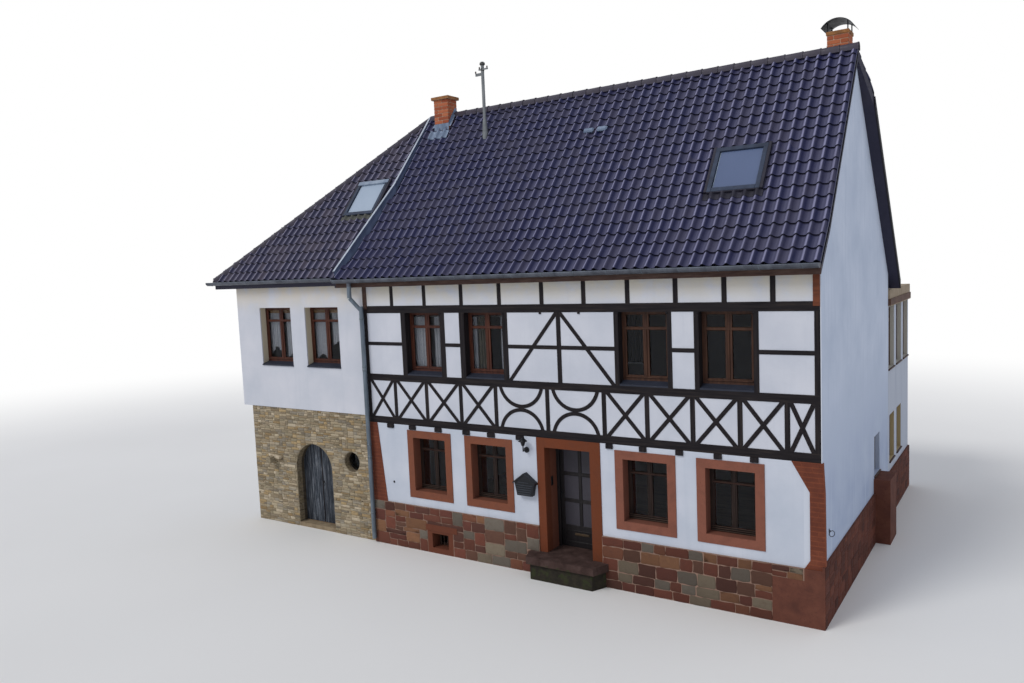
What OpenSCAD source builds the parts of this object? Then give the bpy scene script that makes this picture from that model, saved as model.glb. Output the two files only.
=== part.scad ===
// Half timbered house with a lower hipped side house and a flat roofed extension at the back.
// Millimetres. X runs along the timbered front, Y towards the back and Z up. The origin is at
// the foot of the front's left corner, on the lowest ground.

/* [Main house] */
// Width of the timbered front
house_w = 10000; // [9000:50:11500]
// Depth of the main house, front face to rear face
house_d = 6625; // [6200:25:7600]
// Thickness of the stone walls of the ground storey
stone_t = 560; // [520:10:640]
// Thickness of the timber framed upper front
frame_t = 240; // [220:10:300]
// Thickness of the rendered side and rear walls
side_t = 300; // [250:10:400]
// Thickness of the render that covers the frame's end on the gable
render_t = 15; // [10:1:25]

/* [Levels of the front] */
// Top of the door step and of the ground floor
sill_z = 475; // [400:5:560]
// Height of the rubble plinth
plinth_h = 1008; // [900:5:1100]
// How far the plinth stands out
plinth_out = 40; // [20:1:60]
// Underside of the sill beam that carries the frame
beam_z = 2828; // [2760:5:2950]
// Height of the sill beam and of the upper floor behind it
beam_h = 155; // [130:1:180]
// Clear height of the parapet with its crossed and curved braces
parapet_h = 825; // [760:5:900]
// Height of the parapet rail
rail_h = 147; // [120:1:170]
// Clear height of the window storey
storey_h = 1382; // [1300:5:1500]
// Height of the wall plate
plate_h = 161; // [140:1:180]
// Clear height of the band under the eaves
band_h = 435; // [380:5:500]

/* [Timbers] */
// Width of the posts in the window storey
post_w = 95; // [80:1:120]
// Width of the posts in the parapet and in the band under the eaves
short_post_w = 90; // [70:1:110]
// Width of the braces
brace_w = 75; // [60:1:90]
// Height of the rails at half height of the storey
mid_rail_h = 76; // [60:1:90]
// Middle of those rails above the parapet rail
mid_rail_up = 693; // [600:5:780]
// Depth by which the plaster lies behind the timber
plaster_in = 8; // [4:1:15]
// Parapet posts, from the left corner
left_posts = [828, 1724, 2654, 3553]; // [700:1:3700]
// Parapet post between the two curved bays, from the left corner
arch_post_at = 4791; // [4700:5:4880]
// Parapet posts, from the right corner
right_posts = [3962, 3082, 2207, 1354, 555]; // [500:1:4100]
// Middle post of the storey, from the left corner
middle_post_at = 5102; // [5050:5:5150]
// Reach of the long braces from the middle post at their feet
brace_reach = 1150; // [1000:5:1200]
// Outer radius of the curved braces
arch_r = 540; // [500:5:560]
// Posts in the band under the eaves, from the left corner
left_band_posts = [855, 1783, 2779, 3739, 4746]; // [800:1:4800]
// Posts in the band under the eaves, from the right corner
right_band_posts = [4324, 3412, 2480, 1596, 769]; // [700:1:4400]
// Joist ends, from the left corner
left_joists = [635, 1275, 2002, 2758, 3400, 4113]; // [600:1:4200]
// Joist ends, from the right corner
right_joists = [3872, 3183, 2470, 1757, 1114]; // [1000:1:4000]
// Width of the left joist ends and of the right ones
joist_w = [185, 143]; // [120:1:200]
// Height of the joist ends
joist_h = 90; // [80:1:110]
// How far the joist ends stand out
joist_out = 28; // [10:1:50]

/* [Windows of the front] */
// Middles of the left upper windows, from the left corner
upper_left = [1700, 3307]; // [1600:1:3400]
// Middles of the right upper windows, from the right corner
upper_right = [3137, 1582]; // [1500:1:3200]
// Clear width between the posts at an upper window
upper_win_w = 960; // [900:5:1000]
// Width of the posts beside the left pair and beside the right pair
window_post_w = [127, 90]; // [70:1:140]
// Middles of the left lower windows, from the left corner
lower_left = [1720, 3305]; // [1650:5:3350]
// Middles of the right lower windows, from the right corner
lower_right = [3160, 1550]; // [1500:5:3200]
// Clear width and height of a lower window
lower_win = [886, 1200]; // [840:2:1240]
// Sill height of the lower windows
lower_sill_z = 1358; // [1300:2:1420]
// Width of the sandstone round the lower windows
surround_w = 164; // [120:2:190]
// Depth of the sandstone in the wall
surround_d = 200; // [150:5:260]
// How far the sandstone stands out
surround_out = 15; // [5:1:30]
// Depth of the upper window frames behind the front
upper_set = 170; // [100:5:175]
// Depth of the lower window frames behind the front
lower_set = 220; // [205:5:400]
// Width of the window frames
frame_w = 50; // [40:1:80]
// Depth of the window frames
frame_d = 60; // [50:1:70]
// Width of the mullion and the transom
bar_w = 40; // [30:1:70]
// Depth of the mullion and the transom
bar_d = 30; // [20:1:40]
// Share of the window height below the transom
transom_at = 0.74; // [0.6:0.01:0.85]
// Thickness of the panes
glass_t = 8; // [6:1:12]
// Height of the sloping sill in the upper windows
upper_sill_h = 90; // [70:1:110]

/* [Cellar window] */
// Middle of the cellar window, from the left corner
cellar_at = 1935; // [1800:5:2100]
// Clear width and height of the cellar window
cellar_win = [446, 330]; // [300:2:500]
// Sill height of the cellar window
cellar_sill_z = 120; // [80:1:140]
// Width of the sandstone round the cellar window
cellar_surround_w = 130; // [100:1:150]

/* [Front door] */
// Left side of the door opening, from the left corner
door_at = 4679; // [4660:1:4700]
// Clear width of the door opening
door_w = 1020; // [980:5:1060]
// Clear height of the door opening
door_h = 2160; // [2100:5:2200]
// Widths of the left and the right sandstone jamb
jamb_w = [179, 226]; // [150:1:250]
// Thickness of the door leaf
leaf_t = 55; // [45:1:60]
// Running clearance round the door leaf
door_gap = 8; // [7:0.5:10]
// Radius of the hinge knuckles
knuckle_r = 7.7; // [5:0.1:7.7]
// Depth and thickness of the slab of the step
step_size = [370, 150]; // [120:5:450]
// How far the slab runs past the surround at the left and at the right
step_past = [221, 128]; // [80:1:260]
// How far its front corners lie in from its rear corners
step_taper = [111, 149]; // [60:1:180]
// Set back of its base
step_in = 60; // [30:5:100]

/* [Roof] */
// Overhang of the front eave
eave_out = 165; // [120:5:200]
// Overhang of the rear eave
rear_out = 300; // [250:5:350]
// Upright thickness of the roof
roof_v = 190; // [160:5:220]
// Run of the flatter foot of the front slope
sprocket_run = 660; // [500:10:800]
// Pitch of that foot
sprocket_pitch = 45.6; // [42:0.1:49]
// Pitch of the front slope
front_pitch = 52.7; // [50:0.1:54]
// Height of the rear eave
rear_eave_z = 5567; // [5450:1:5650]
// Distance of the ridge from the front
ridge_y = 2928; // [2850:5:3000]
// Overhang of the front slope at the gable
verge_out = 40; // [20:1:60]
// Overhang of the rear slope at the gable
rear_verge_out = 200; // [120:5:220]
// Run over which the rear overhang grows from the ridge
verge_run = 700; // [500:10:900]
// Radius of the ridge and hip tiles
ridge_r = 130; // [110:1:150]
// Depth of their middle below the ridge and below the hips
ridge_drop = [80, 45]; // [30:1:90]

/* [Roof windows] */
// Middle of the main roof window, from the right corner
main_light_at = 1710; // [1600:10:2000]
// Middle of the main roof window, from the front
main_light_y = 1280; // [1150:5:1350]
// Middle of the side roof window, left of the corner
side_light_x = -890; // [-1100:10:-850]
// Middle of the side roof window, from the front
side_light_y = 1330; // [1250:5:1400]
// Outer width and length of a roof window
light_size = [960, 1060]; // [900:10:1100]
// Height of a roof window above the slope
light_up = 70; // [50:1:90]
// Width of a roof window's frame
light_frame = 85; // [60:1:110]

/* [Chimneys and mast] */
// Left side, front side and top of the left chimney
left_stack = [270, 2640, 10410]; // [200:10:10500]
// Width and depth of the left chimney
left_stack_size = [420, 360]; // [340:10:460]
// Thickness and overhang of its cover slab
cover_slab = [70, 50]; // [40:5:90]
// Left side from the right corner, front side and top of the right chimney
right_stack_at = [520, 2990, 10420]; // [480:10:10500]
// Width and depth of the right chimney
right_stack_size = [380, 400]; // [340:10:460]
// Height of the legs and rise of the curved metal cap
cap_size = [60, 150]; // [40:5:180]
// Overhang of the curved metal cap
cap_out = 95; // [60:5:120]
// Thickness of the metal cap
cap_t = 6; // [4:1:10]
// Place of the service mast, from the left corner and from the front
mast_at = [1930, 2410]; // [1800:10:2500]
// Radius and height of the service mast above the roof
mast_size = [38, 1720]; // [30:1:1900]
// Length and thickness of its cross arm, and length of the bracket below it
mast_arm = [250, 30, 180]; // [20:5:500]

/* [Rain water] */
// Radius of the gutters
gutter_r = 84; // [60:1:90]
// Thickness of the sheet
sheet_t = 5; // [3:1:6]
// Radius of the downpipe
pipe_r = 50; // [40:1:60]
// Left end of the main gutter
gutter_x = -640; // [-700:10:-560]
// Place of the main gutter's outlet along the front
outlet_x = -150; // [-300:10:-60]
// Straight drop below the outlet, before the pipe bends to the wall
outlet_drop = 340; // [200:10:400]

/* [Side house] */
// Width of the side house's upper wall
side_w = 4358; // [4300:10:4500]
// Setback of its stone storey at the left
side_step = 290; // [200:10:320]
// Depth of the side house
side_d = 5850; // [5700:10:6000]
// Thickness of its stone front
side_stone_t = 240; // [200:10:280]
// Thickness of its rendered walls
side_wall_t = 250; // [200:10:300]
// How far its rendered wall stands out over the stone
side_out = 25; // [10:1:40]
// Level of its ground floor
side_floor_z = 100; // [60:5:140]
// Side overhang of its eave
side_eave = 640; // [560:10:700]
// Height of its eave above the main eave
side_eave_up = 47; // [20:1:60]
// Middles of its upper windows, left of the corner
side_win_x = [-2960, -1350]; // [-3100:5:-1250]
// Clear width and height of its upper windows
side_win = [1116, 1442]; // [1050:2:1480]
// Sill height of its upper windows
side_win_z = 4041; // [4000:1:4100]
// Depth of its window frames behind the wall
side_win_set = 185; // [90:5:190]

/* [Arched doors] */
// Middle of the arched doorway, left of the corner
arch_x = -1950; // [-2000:5:-1900]
// Half width of the arched doorway
arch_half = 617; // [590:1:640]
// Crown of the arched doorway
arch_top = 2130; // [2100:5:2250]
// Overlap of the leaves behind the stone
arch_lap = 45; // [30:1:60]
// Gap between the leaves and behind the stone
arch_gap = 8; // [7:0.5:10]
// Thickness of the arched leaves
arch_leaf_t = 50; // [40:1:60]
// Radius of their hinge posts
arch_pin_r = 20; // [15:1:25]
// Middle and radius of the round window beside them
oculus = [-650, 1812, 240]; // [-700:2:1850]
// Depth of its pane in front of the inner wall face
oculus_set = 60; // [40:1:80]
// Middle of the stone spout at the left
spout_at = [-3360, 1650]; // [-3500:5:1750]
// Width, reach and height of the stone spout
spout_size = [160, 220, 150]; // [100:5:260]

/* [Rear extension] */
// Width of the extension
ext_w = 4500; // [4000:50:5000]
// Depth of the extension
ext_d = 3200; // [3100:10:3400]
// Thickness of its walls
ext_t = 250; // [200:10:300]
// Height of its walls
ext_h = 4983; // [4950:1:5020]
// Height and overhang of its fascia
ext_fascia = [167, 60]; // [40:1:200]
// Height and overhang of the roof edge above the fascia
ext_edge = [213, 40]; // [30:1:240]
// Middles of its upper side windows, from the main rear wall
ext_upper_y = [470, 1590, 2710]; // [430:10:2750]
// Clear width and height of its upper side windows
ext_upper = [800, 1440]; // [750:10:1460]
// Sill height of the upper windows at the back
ext_upper_z = 3520; // [3450:5:3560]
// Middles of its lower side windows, from the main rear wall
ext_lower_y = [540, 1620]; // [500:10:1700]
// Clear width and height of its lower side windows
ext_lower = [700, 1100]; // [650:10:1150]
// Sill height of the lower windows at the back
ext_lower_z = 1317; // [1250:5:1400]
// Middles of the windows in the main rear wall, from the left corner
rear_win_x = [1500, 3800]; // [1400:10:3900]

/* [Gable] */
// Height of the painted plinth
painted_h = 1085; // [1020:5:1150]
// Width of the painted corner block on the front
corner_block_w = 830; // [700:10:900]
// Height of that block
corner_block_h = 800; // [700:10:900]
// Width of the painted foot above the block
corner_foot_w = 293; // [250:1:350]
// How far the right pilaster stands out beside the gable at its head, waist and foot
pilaster_out = [15, 40, 50]; // [10:1:60]
// Return of that pilaster along the gable
pilaster_back = 60; // [40:5:120]
// Middle of the small gable window, from the front
gable_win_y = 5146; // [5000:5:5250]
// Clear width and height of the small gable window
gable_win = [640, 850]; // [600:5:900]
// Sill height of the small gable window
gable_win_z = 1450; // [1400:5:1500]
// Depth of the frames behind the gable and the rear walls
back_set = 90; // [60:5:140]
// Width, reach and height of the block under it
gable_block = [800, 330, 1400]; // [300:10:1450]

/* [Small fittings] */
// Foot of the letter box
box_z = 1615; // [1500:5:1750]
// Share of the pier between window and door that its foot, its shoulders and its lid take
box_share = [0.6, 0.8, 0.905]; // [0.5:0.005:0.96]
// Depth and height of the letter box body
box_size = [110, 270]; // [90:5:300]
// Thickness and rise of its pitched lid
box_lid = [30, 200]; // [20:5:220]
// Height of the wall lamp above the floor
lamp_up = 2075; // [1950:5:2150]
// Radius and thickness of its wall plate
lamp_plate = [60, 20]; // [15:1:80]
// Radius and height of its lantern
lamp_size = [58, 120]; // [45:1:160]
// Reach, rise and thickness of its arm
lamp_arm = [140, 110, 18]; // [15:1:160]

/* [Hidden] */

// Facets of the larger curves and of the small round pieces
curve_fn = 72;
small_fn = 32;
// Overlap used where a cut runs past a face
cut = 1;
// Height that is above every roof
sky = 14000;
// Clearance of pieces that turn on a hinge, at the hinge itself
hinge_gap = 0.3;
// Hairline joint between the pieces of one wall or surround
joint = 0.2;
// Thickness of boards and of zinc sheet
board_t = 20;
zinc_t = 6;

beam_top = beam_z + beam_h;
rail_z = beam_top + parapet_h;
storey_z = rail_z + rail_h;
plate_z = storey_z + storey_h;
band_z = plate_z + plate_h;
band_top = band_z + band_h;
frame_x1 = house_w - render_t;

// Places along the front are given for a front this wide, and spread with its width
drawn_w = 10000;
spread = house_w / drawn_w;
function along(left, right) = concat([for (d = left) d * spread], [for (d = right) house_w - d * spread]);

upper_x = along(upper_left, upper_right);
lower_x = along(lower_left, lower_right);
cellar_x = cellar_at * spread;
middle_post_x = middle_post_at * spread;
parapet_x = along(concat(left_posts, [arch_post_at]), right_posts);
band_x = along(left_band_posts, right_band_posts);
joist_x = along(left_joists, right_joists);
bay_edges = concat([post_w - short_post_w / 2], parapet_x, [frame_x1 - post_w + short_post_w / 2]);
arch_bays = [4, 5];

// Roof line: height of the roof's upper face over a distance from the front
eave_top = band_top + roof_v;
sprocket_y = sprocket_run - eave_out;
sprocket_top = eave_top + sprocket_run * tan(sprocket_pitch);
ridge_z = sprocket_top + (ridge_y - sprocket_y) * tan(front_pitch);
rear_eave_y = house_d + rear_out;
rear_pitch = atan((ridge_z - rear_eave_z) / (rear_eave_y - ridge_y));
function roof_top(y) = y < sprocket_y ? eave_top + (y + eave_out) * tan(sprocket_pitch)
  : y < ridge_y ? sprocket_top + (y - sprocket_y) * tan(front_pitch)
  : ridge_z - (y - ridge_y) * tan(rear_pitch);

// The two roofs meet along this line in plan, which swings out to the left at the eave
joint_foot_x = -700;
joint_bend = [-150, 1495];
joint_x = -45;

// The side roof rises in one plane from its eave to the main ridge
side_eave_z = eave_top + side_eave_up;
side_pitch = atan((ridge_z - side_eave_z) / (ridge_y + eave_out));
end_slope = (ridge_z - side_eave_z) / (joint_x + side_w + side_eave);
side_rear_y = 2 * ridge_y + eave_out;
side_left_x = -side_w - side_eave;
function side_roof_top(y) = side_eave_z + (y + eave_out) * tan(side_pitch);
joint_line = [[joint_foot_x, -eave_out], joint_bend, [joint_x, ridge_y]];
hip_foot = [side_left_x, -eave_out];
rear_hip_foot = [side_left_x, side_rear_y];
roof_peak = [joint_x, ridge_y];

arch_c = arch_top - arch_half;
side_stone_x0 = -side_w + side_step;
ext_x0 = house_w - ext_w;
ext_y1 = house_d + ext_d;
door_x = door_at * spread;
door_x1 = door_x + door_w;
main_light_x = house_w - main_light_at;
right_stack = [house_w - right_stack_at[0], right_stack_at[1], right_stack_at[2]];
mast_x = mast_at[0] * spread;
door_top = sill_z + door_h;

// An outline in X and Z made into a slab that starts at y0 and is t thick
module wall_y(y0, t) {
  translate([0, y0 + t, 0]) rotate([90, 0, 0]) linear_extrude(t) children();
}

// An outline in Y and Z made into a slab that starts at x0 and is t thick
module wall_x(x0, t) {
  translate([x0, 0, 0]) rotate([90, 0, 90]) linear_extrude(t) children();
}

module rect(x0, z0, w, h) {
  translate([x0, z0]) square([w, h]);
}

module box(x0, y0, z0, w, d, h) {
  translate([x0, y0, z0]) cube([w, d, h]);
}

// A bar from point a to point b in an outline, w wide
module bar(a, b, w) {
  len = norm(b - a);
  translate(a) rotate(atan2(b[1] - a[1], b[0] - a[0])) translate([0, -w / 2]) square([len, w]);
}

// Everything above a hairline under the main roof
module above_main() {
  translate([0, 0, -joint]) wall_x(-2 * side_w, house_w + 3 * side_w) polygon([
    [-eave_out - cut, roof_top(-eave_out - cut) - roof_v], [sprocket_y, sprocket_top - roof_v],
    [ridge_y, ridge_z - roof_v], [rear_eave_y + cut, roof_top(rear_eave_y + cut) - roof_v],
    [rear_eave_y + cut, sky + cut], [-eave_out - cut, sky + cut]]);
}

// Plan area that lies left of the joint between the two roofs
module left_of_joint() {
  linear_extrude(sky) polygon([
    [joint_foot_x, -house_d], [joint_foot_x, -eave_out], joint_bend, [joint_x, ridge_y],
    [joint_x, 2 * house_d], [-2 * side_w, 2 * house_d], [-2 * side_w, -house_d]]);
}

// Everything up to a hairline above the main roof, between x0 and x1
module below_main(x0, x1) {
  far = 4 * ridge_r;
  translate([0, 0, joint]) wall_x(x0, x1 - x0) polygon([
    [-eave_out - far, -joint], [-eave_out - far, roof_top(-eave_out - far)], [sprocket_y, sprocket_top],
    [ridge_y, ridge_z], [rear_eave_y + far, roof_top(rear_eave_y + far)], [rear_eave_y + far, -joint]]);
}

// Everything under the upper faces of the side roof, carried on past its eaves
module below_side() {
  far = 4 * ridge_r;
  fall = far * tan(side_pitch);
  intersection() {
    wall_x(2 * side_left_x, 4 * house_w) polygon([
      [-eave_out - far, 0], [-eave_out - far, side_eave_z - fall], [ridge_y, ridge_z],
      [side_rear_y + far, side_eave_z - fall], [side_rear_y + far, 0]]);
    wall_y(-house_d, 3 * house_d) polygon([
      [side_left_x - far, 0], [side_left_x - far, side_eave_z - far * end_slope], [joint_x, ridge_z],
      [house_w, ridge_z], [house_w, 0]]);
  }
}

// Cuts what stands in the side house along the undersides of the roofs
module trim_to_side_roof() {
  difference() {
    intersection() {
      children();
      translate([0, 0, -roof_v]) below_side();
    }
    difference() {
      above_main();
      left_of_joint();
    }
  }
}

// Outlines of the timber frame, seen from the front
module parapet_posts_2d() {
  for (x = parapet_x) rect(x - short_post_w / 2, beam_top, short_post_w, parapet_h);
  rect(0, beam_top, post_w, parapet_h);
  rect(frame_x1 - post_w, beam_top, post_w, parapet_h);
}

module storey_posts_2d() {
  half = upper_win_w / 2;
  for (i = [0 : len(upper_x) - 1], s = [-1, 1]) {
    w = window_post_w[i < 2 ? 0 : 1];
    rect(upper_x[i] + s * (half + w / 2) - w / 2, storey_z, w, storey_h);
  }
  for (x = [0, middle_post_x - post_w / 2, frame_x1 - post_w]) rect(x, storey_z, post_w, storey_h);
}

module band_posts_2d() {
  for (x = band_x)
    rect(x - short_post_w / 2, band_z, short_post_w, 2 * band_h);
  for (x = [0, frame_x1 - post_w]) rect(x, band_z, post_w, 2 * band_h);
}

module rails_2d() {
  rect(0, beam_z, frame_x1, beam_h);
  rect(0, rail_z, frame_x1, rail_h);
  rect(0, plate_z, frame_x1, plate_h);
}

// A cross from corner to corner of a parapet bay between x0 and x1
module cross_2d(x0, x1) {
  intersection() {
    rect(x0, beam_top, x1 - x0, parapet_h);
    union() {
      bar([x0, beam_top] - [0, brace_w / 2], [x1, rail_z] + [0, brace_w / 2], brace_w);
      bar([x0, rail_z] + [0, brace_w / 2], [x1, beam_top] - [0, brace_w / 2], brace_w);
    }
  }
}

// Two curved braces back to back in a parapet bay, the upper one hanging from the rail
module arches_2d(x0, x1) {
  xm = (x0 + x1) / 2;
  depth = parapet_h / 2 + 2 * cut;
  intersection() {
    rect(x0, beam_top, x1 - x0, parapet_h);
    for (z = [rail_z - depth + arch_r, beam_top + depth - arch_r]) translate([xm, z]) difference() {
      circle(arch_r, $fn = curve_fn);
      circle(arch_r - brace_w, $fn = curve_fn);
    }
  }
}

module parapet_braces_2d() {
  inset = short_post_w / 2;
  for (i = [0 : len(bay_edges) - 2]) {
    x0 = bay_edges[i] + inset;
    x1 = bay_edges[i + 1] - inset;
    if (i == arch_bays[0] || i == arch_bays[1]) arches_2d(x0, x1);
    else cross_2d(x0, x1);
  }
}

// The two long braces that lean against the head of the middle post
module long_braces_2d() {
  for (s = [-1, 1]) {
    head = [middle_post_x + s * post_w / 2, plate_z];
    foot = [middle_post_x + s * brace_reach, storey_z];
    out = [s * brace_w, -brace_w];
    bay = s > 0 ? [middle_post_x + post_w / 2, upper_x[2] - upper_win_w / 2 - window_post_w[1]]
      : [upper_x[1] + upper_win_w / 2 + window_post_w[0], middle_post_x - post_w / 2];
    intersection() {
      rect(bay[0], storey_z, bay[1] - bay[0], storey_h);
      bar(head - out, foot + out, brace_w);
    }
  }
}

module mid_rails_2d() {
  difference() {
    rect(post_w, storey_z + mid_rail_up - mid_rail_h / 2, frame_x1 - 2 * post_w, mid_rail_h);
    storey_posts_2d();
    long_braces_2d();
    for (x = upper_x) rect(x - upper_win_w / 2 - cut, storey_z, upper_win_w + 2 * cut, storey_h);
  }
}

module front_plinth() {
  left_w = door_x - jamb_w[0];
  right_x = door_x1 + jamb_w[1];
  color("rosybrown") wall_y(-plinth_out, plinth_out) {
    difference() {
      rect(0, 0, left_w, plinth_h);
      rect(cellar_x - cellar_win[0] / 2 - cellar_surround_w, -cut, cellar_win[0] + 2 * cellar_surround_w,
        cellar_sill_z + cellar_win[1] + cellar_surround_w + cut);
    }
    polygon([
      [right_x, 0], [house_w - corner_block_w, 0], [house_w - corner_block_w, corner_block_h],
      [house_w - corner_foot_w, corner_block_h], [house_w - corner_foot_w, plinth_h], [right_x, plinth_h]]);
  }
}

// The two depths at which a window with a stone surround is cut into a wall
module stone_window_cut(xm, z0, size, ring) {
  w = size[0];
  h = size[1];
  box(xm - w / 2, -cut, z0, w, stone_t + 2 * cut, h);
  box(xm - w / 2 - ring, -cut, max(z0 - ring, -cut), w + 2 * ring, surround_d + cut,
    h + ring + min(z0 + cut, ring));
}

module front_wall_left() {
  color("white") difference() {
    box(0, 0, 0, door_x, stone_t, beam_z);
    for (i = [0, 1]) stone_window_cut(lower_x[i], lower_sill_z, lower_win, surround_w);
    stone_window_cut(cellar_x, cellar_sill_z, cellar_win, cellar_surround_w);
    box(door_x - jamb_w[0], -cut, sill_z, jamb_w[0] + cut, surround_d + cut, beam_z);
  }
}

module front_wall_right() {
  color("white") difference() {
    box(door_x1, 0, 0, house_w - side_t - door_x1, stone_t, beam_z);
    for (i = [2, 3]) stone_window_cut(lower_x[i], lower_sill_z, lower_win, surround_w);
    box(door_x1 - cut, -cut, sill_z, jamb_w[1] + cut, surround_d + cut, beam_z);
  }
}

module door_head_wall() {
  color("white") box(door_x, surround_d, door_top, door_w, stone_t - surround_d, beam_z - door_top);
}

// Two jambs and a lintel
module door_surround() {
  deep = surround_out + surround_d;
  jamb_h = door_h - joint;
  color("peru") {
    box(door_x - jamb_w[0], -surround_out, sill_z, jamb_w[0], deep, jamb_h);
    box(door_x1, -surround_out, sill_z, jamb_w[1], deep, jamb_h);
    box(door_x - jamb_w[0], -surround_out, door_top, door_w + jamb_w[0] + jamb_w[1], deep,
      beam_z - door_top);
  }
}

// Plan of the step's slab, or of its base set back by in
module step_plan(in) {
  x0 = door_x - jamb_w[0] - step_past[0] + in;
  x1 = door_x1 + jamb_w[1] + step_past[1] - in;
  y0 = -plinth_out - step_size[0] + in;
  y1 = -plinth_out - joint;
  polygon([[x0, y1], [x0 + step_taper[0], y0], [x1 - step_taper[1], y0], [x1, y1]]);
}

// Step, base of the jambs and threshold, and the threshold of the arched doorway
module door_step() {
  x0 = door_x - jamb_w[0];
  wide = door_w + jamb_w[0] + jamb_w[1];
  slab_z = sill_z - step_size[1];
  color("sienna") {
    translate([0, 0, slab_z]) linear_extrude(step_size[1]) step_plan(0);
    linear_extrude(slab_z - joint) step_plan(step_in);
    box(x0, -plinth_out, 0, wide, plinth_out - joint, sill_z);
    box(door_x, 0, 0, door_w, stone_t, sill_z);
    box(arch_x - arch_half, 0, 0, 2 * arch_half, side_stone_t, side_floor_z);
  }
}

// Leaf with a sunk panel below two columns of three panes, hung at its right side
module front_door() {
  w = door_w - 2 * door_gap;
  h = door_h - 2 * door_gap;
  x0 = door_x + door_gap;
  z0 = sill_z + door_gap;
  stile = 120;
  rail = 95;
  panel_h = 250;
  bars = 50;
  pane_w = (w - 2 * stile - bars) / 2;
  pane_h = (h - panel_h - 3 * rail - 2 * bars) / 3;
  door_set = stone_t - leaf_t;
  color("saddlebrown") difference() {
    union() {
      box(x0, door_set, z0, w, leaf_t, h);
      for (z = [z0 + rail, z0 + h / 2, z0 + h - 2 * rail])
        translate([x0 + w, door_set + leaf_t - knuckle_r, z])
          cylinder(r = knuckle_r, h = rail, $fn = small_fn);
    }
    box(x0 + stile, door_set - cut, z0 + rail, w - 2 * stile, leaf_t / 4 + cut, panel_h);
    for (i = [0, 1], j = [0 : 2])
      box(x0 + stile + i * (pane_w + bars), door_set - cut, z0 + panel_h + 2 * rail + j * (pane_h + bars),
        pane_w, leaf_t / 3 + cut, pane_h);
  }
}

// Sandstone ring round a window in the stone wall
module stone_ring(xm, z0, size, ring, out) {
  wall_y(-out, out + surround_d) difference() {
    rect(xm - size[0] / 2 - ring, max(z0 - ring, 0), size[0] + 2 * ring, size[1] + ring + min(z0, ring));
    rect(xm - size[0] / 2, z0, size[0], size[1]);
  }
}

module window_surrounds() {
  color("indianred") {
    for (x = lower_x) stone_ring(x, lower_sill_z, lower_win, surround_w, surround_out);
    stone_ring(cellar_x, cellar_sill_z, cellar_win, cellar_surround_w, plinth_out);
  }
}

// Window frame in an opening with its left foot at x0, z0: ring, mullion and transom
module frame_xz(x0, z0, size, y0) {
  w = size[0];
  h = size[1];
  wall_y(y0, frame_d) difference() {
    rect(x0, z0, w, h);
    rect(x0 + frame_w, z0 + frame_w, w - 2 * frame_w, h - 2 * frame_w);
  }
  wall_y(y0, bar_d) {
    rect(x0 + w / 2 - bar_w / 2, z0 + frame_w / 2, bar_w, h - frame_w);
    rect(x0 + frame_w / 2, z0 + h * transom_at, w - frame_w, bar_w);
  }
}

// Pane behind the bars of such a frame
module pane_xz(x0, z0, size, y0) {
  box(x0 + frame_w, y0 + bar_d, z0 + frame_w, size[0] - 2 * frame_w, glass_t, size[1] - 2 * frame_w);
}

module lower_windows() {
  color("saddlebrown") {
    for (x = lower_x) frame_xz(x - lower_win[0] / 2, lower_sill_z, lower_win, lower_set);
    frame_xz(cellar_x - cellar_win[0] / 2, cellar_sill_z, cellar_win, lower_set);
  }
}

upper_frame = [upper_win_w, storey_h - upper_sill_h];

module upper_windows() {
  color("saddlebrown") {
    for (x = upper_x) {
      x0 = x - upper_win_w / 2;
      frame_xz(x0, storey_z + upper_sill_h, upper_frame, upper_set);
      wall_x(x0, upper_win_w) polygon([
        [0, storey_z], [upper_set + frame_d, storey_z], [upper_set + frame_d, storey_z + upper_sill_h],
        [upper_set, storey_z + upper_sill_h], [0, storey_z + upper_sill_h / 3]]);
    }
    for (x = side_win_x) {
      x0 = x - side_win[0] / 2;
      frame_xz(x0, side_win_z + upper_sill_h, side_win - [0, upper_sill_h], side_win_set - side_out);
      wall_x(x0, side_win[0]) polygon([
        [-2 * side_out, side_win_z], [side_win_set - side_out + frame_d, side_win_z],
        [side_win_set - side_out + frame_d, side_win_z + upper_sill_h],
        [side_win_set - side_out, side_win_z + upper_sill_h],
        [-2 * side_out, side_win_z + upper_sill_h / 3]]);
    }
  }
}

// Roof window glass lies in the frame's slope
module light_pane() {
  pane = [light_size[0] - 2 * light_frame, light_size[1] - 2 * light_frame, glass_t];
  translate([0, 0, light_up / 2]) cube(pane, center = true);
}

module window_glass() {
  color("lightsteelblue") {
    for (x = lower_x) pane_xz(x - lower_win[0] / 2, lower_sill_z, lower_win, lower_set);
    pane_xz(cellar_x - cellar_win[0] / 2, cellar_sill_z, cellar_win, lower_set);
    for (x = upper_x) pane_xz(x - upper_win_w / 2, storey_z + upper_sill_h, upper_frame, upper_set);
    for (x = side_win_x) pane_xz(x - side_win[0] / 2, side_win_z + upper_sill_h,
      side_win - [0, upper_sill_h], side_win_set - side_out);
    on_main_slope() light_pane();
    on_side_slope() light_pane();
    back_openings() back_pane();
    translate([oculus[0], side_stone_t - oculus_set, oculus[1]]) rotate([90, 0, 0])
      cylinder(r = oculus[2], h = glass_t, $fn = curve_fn);
  }
}

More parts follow.
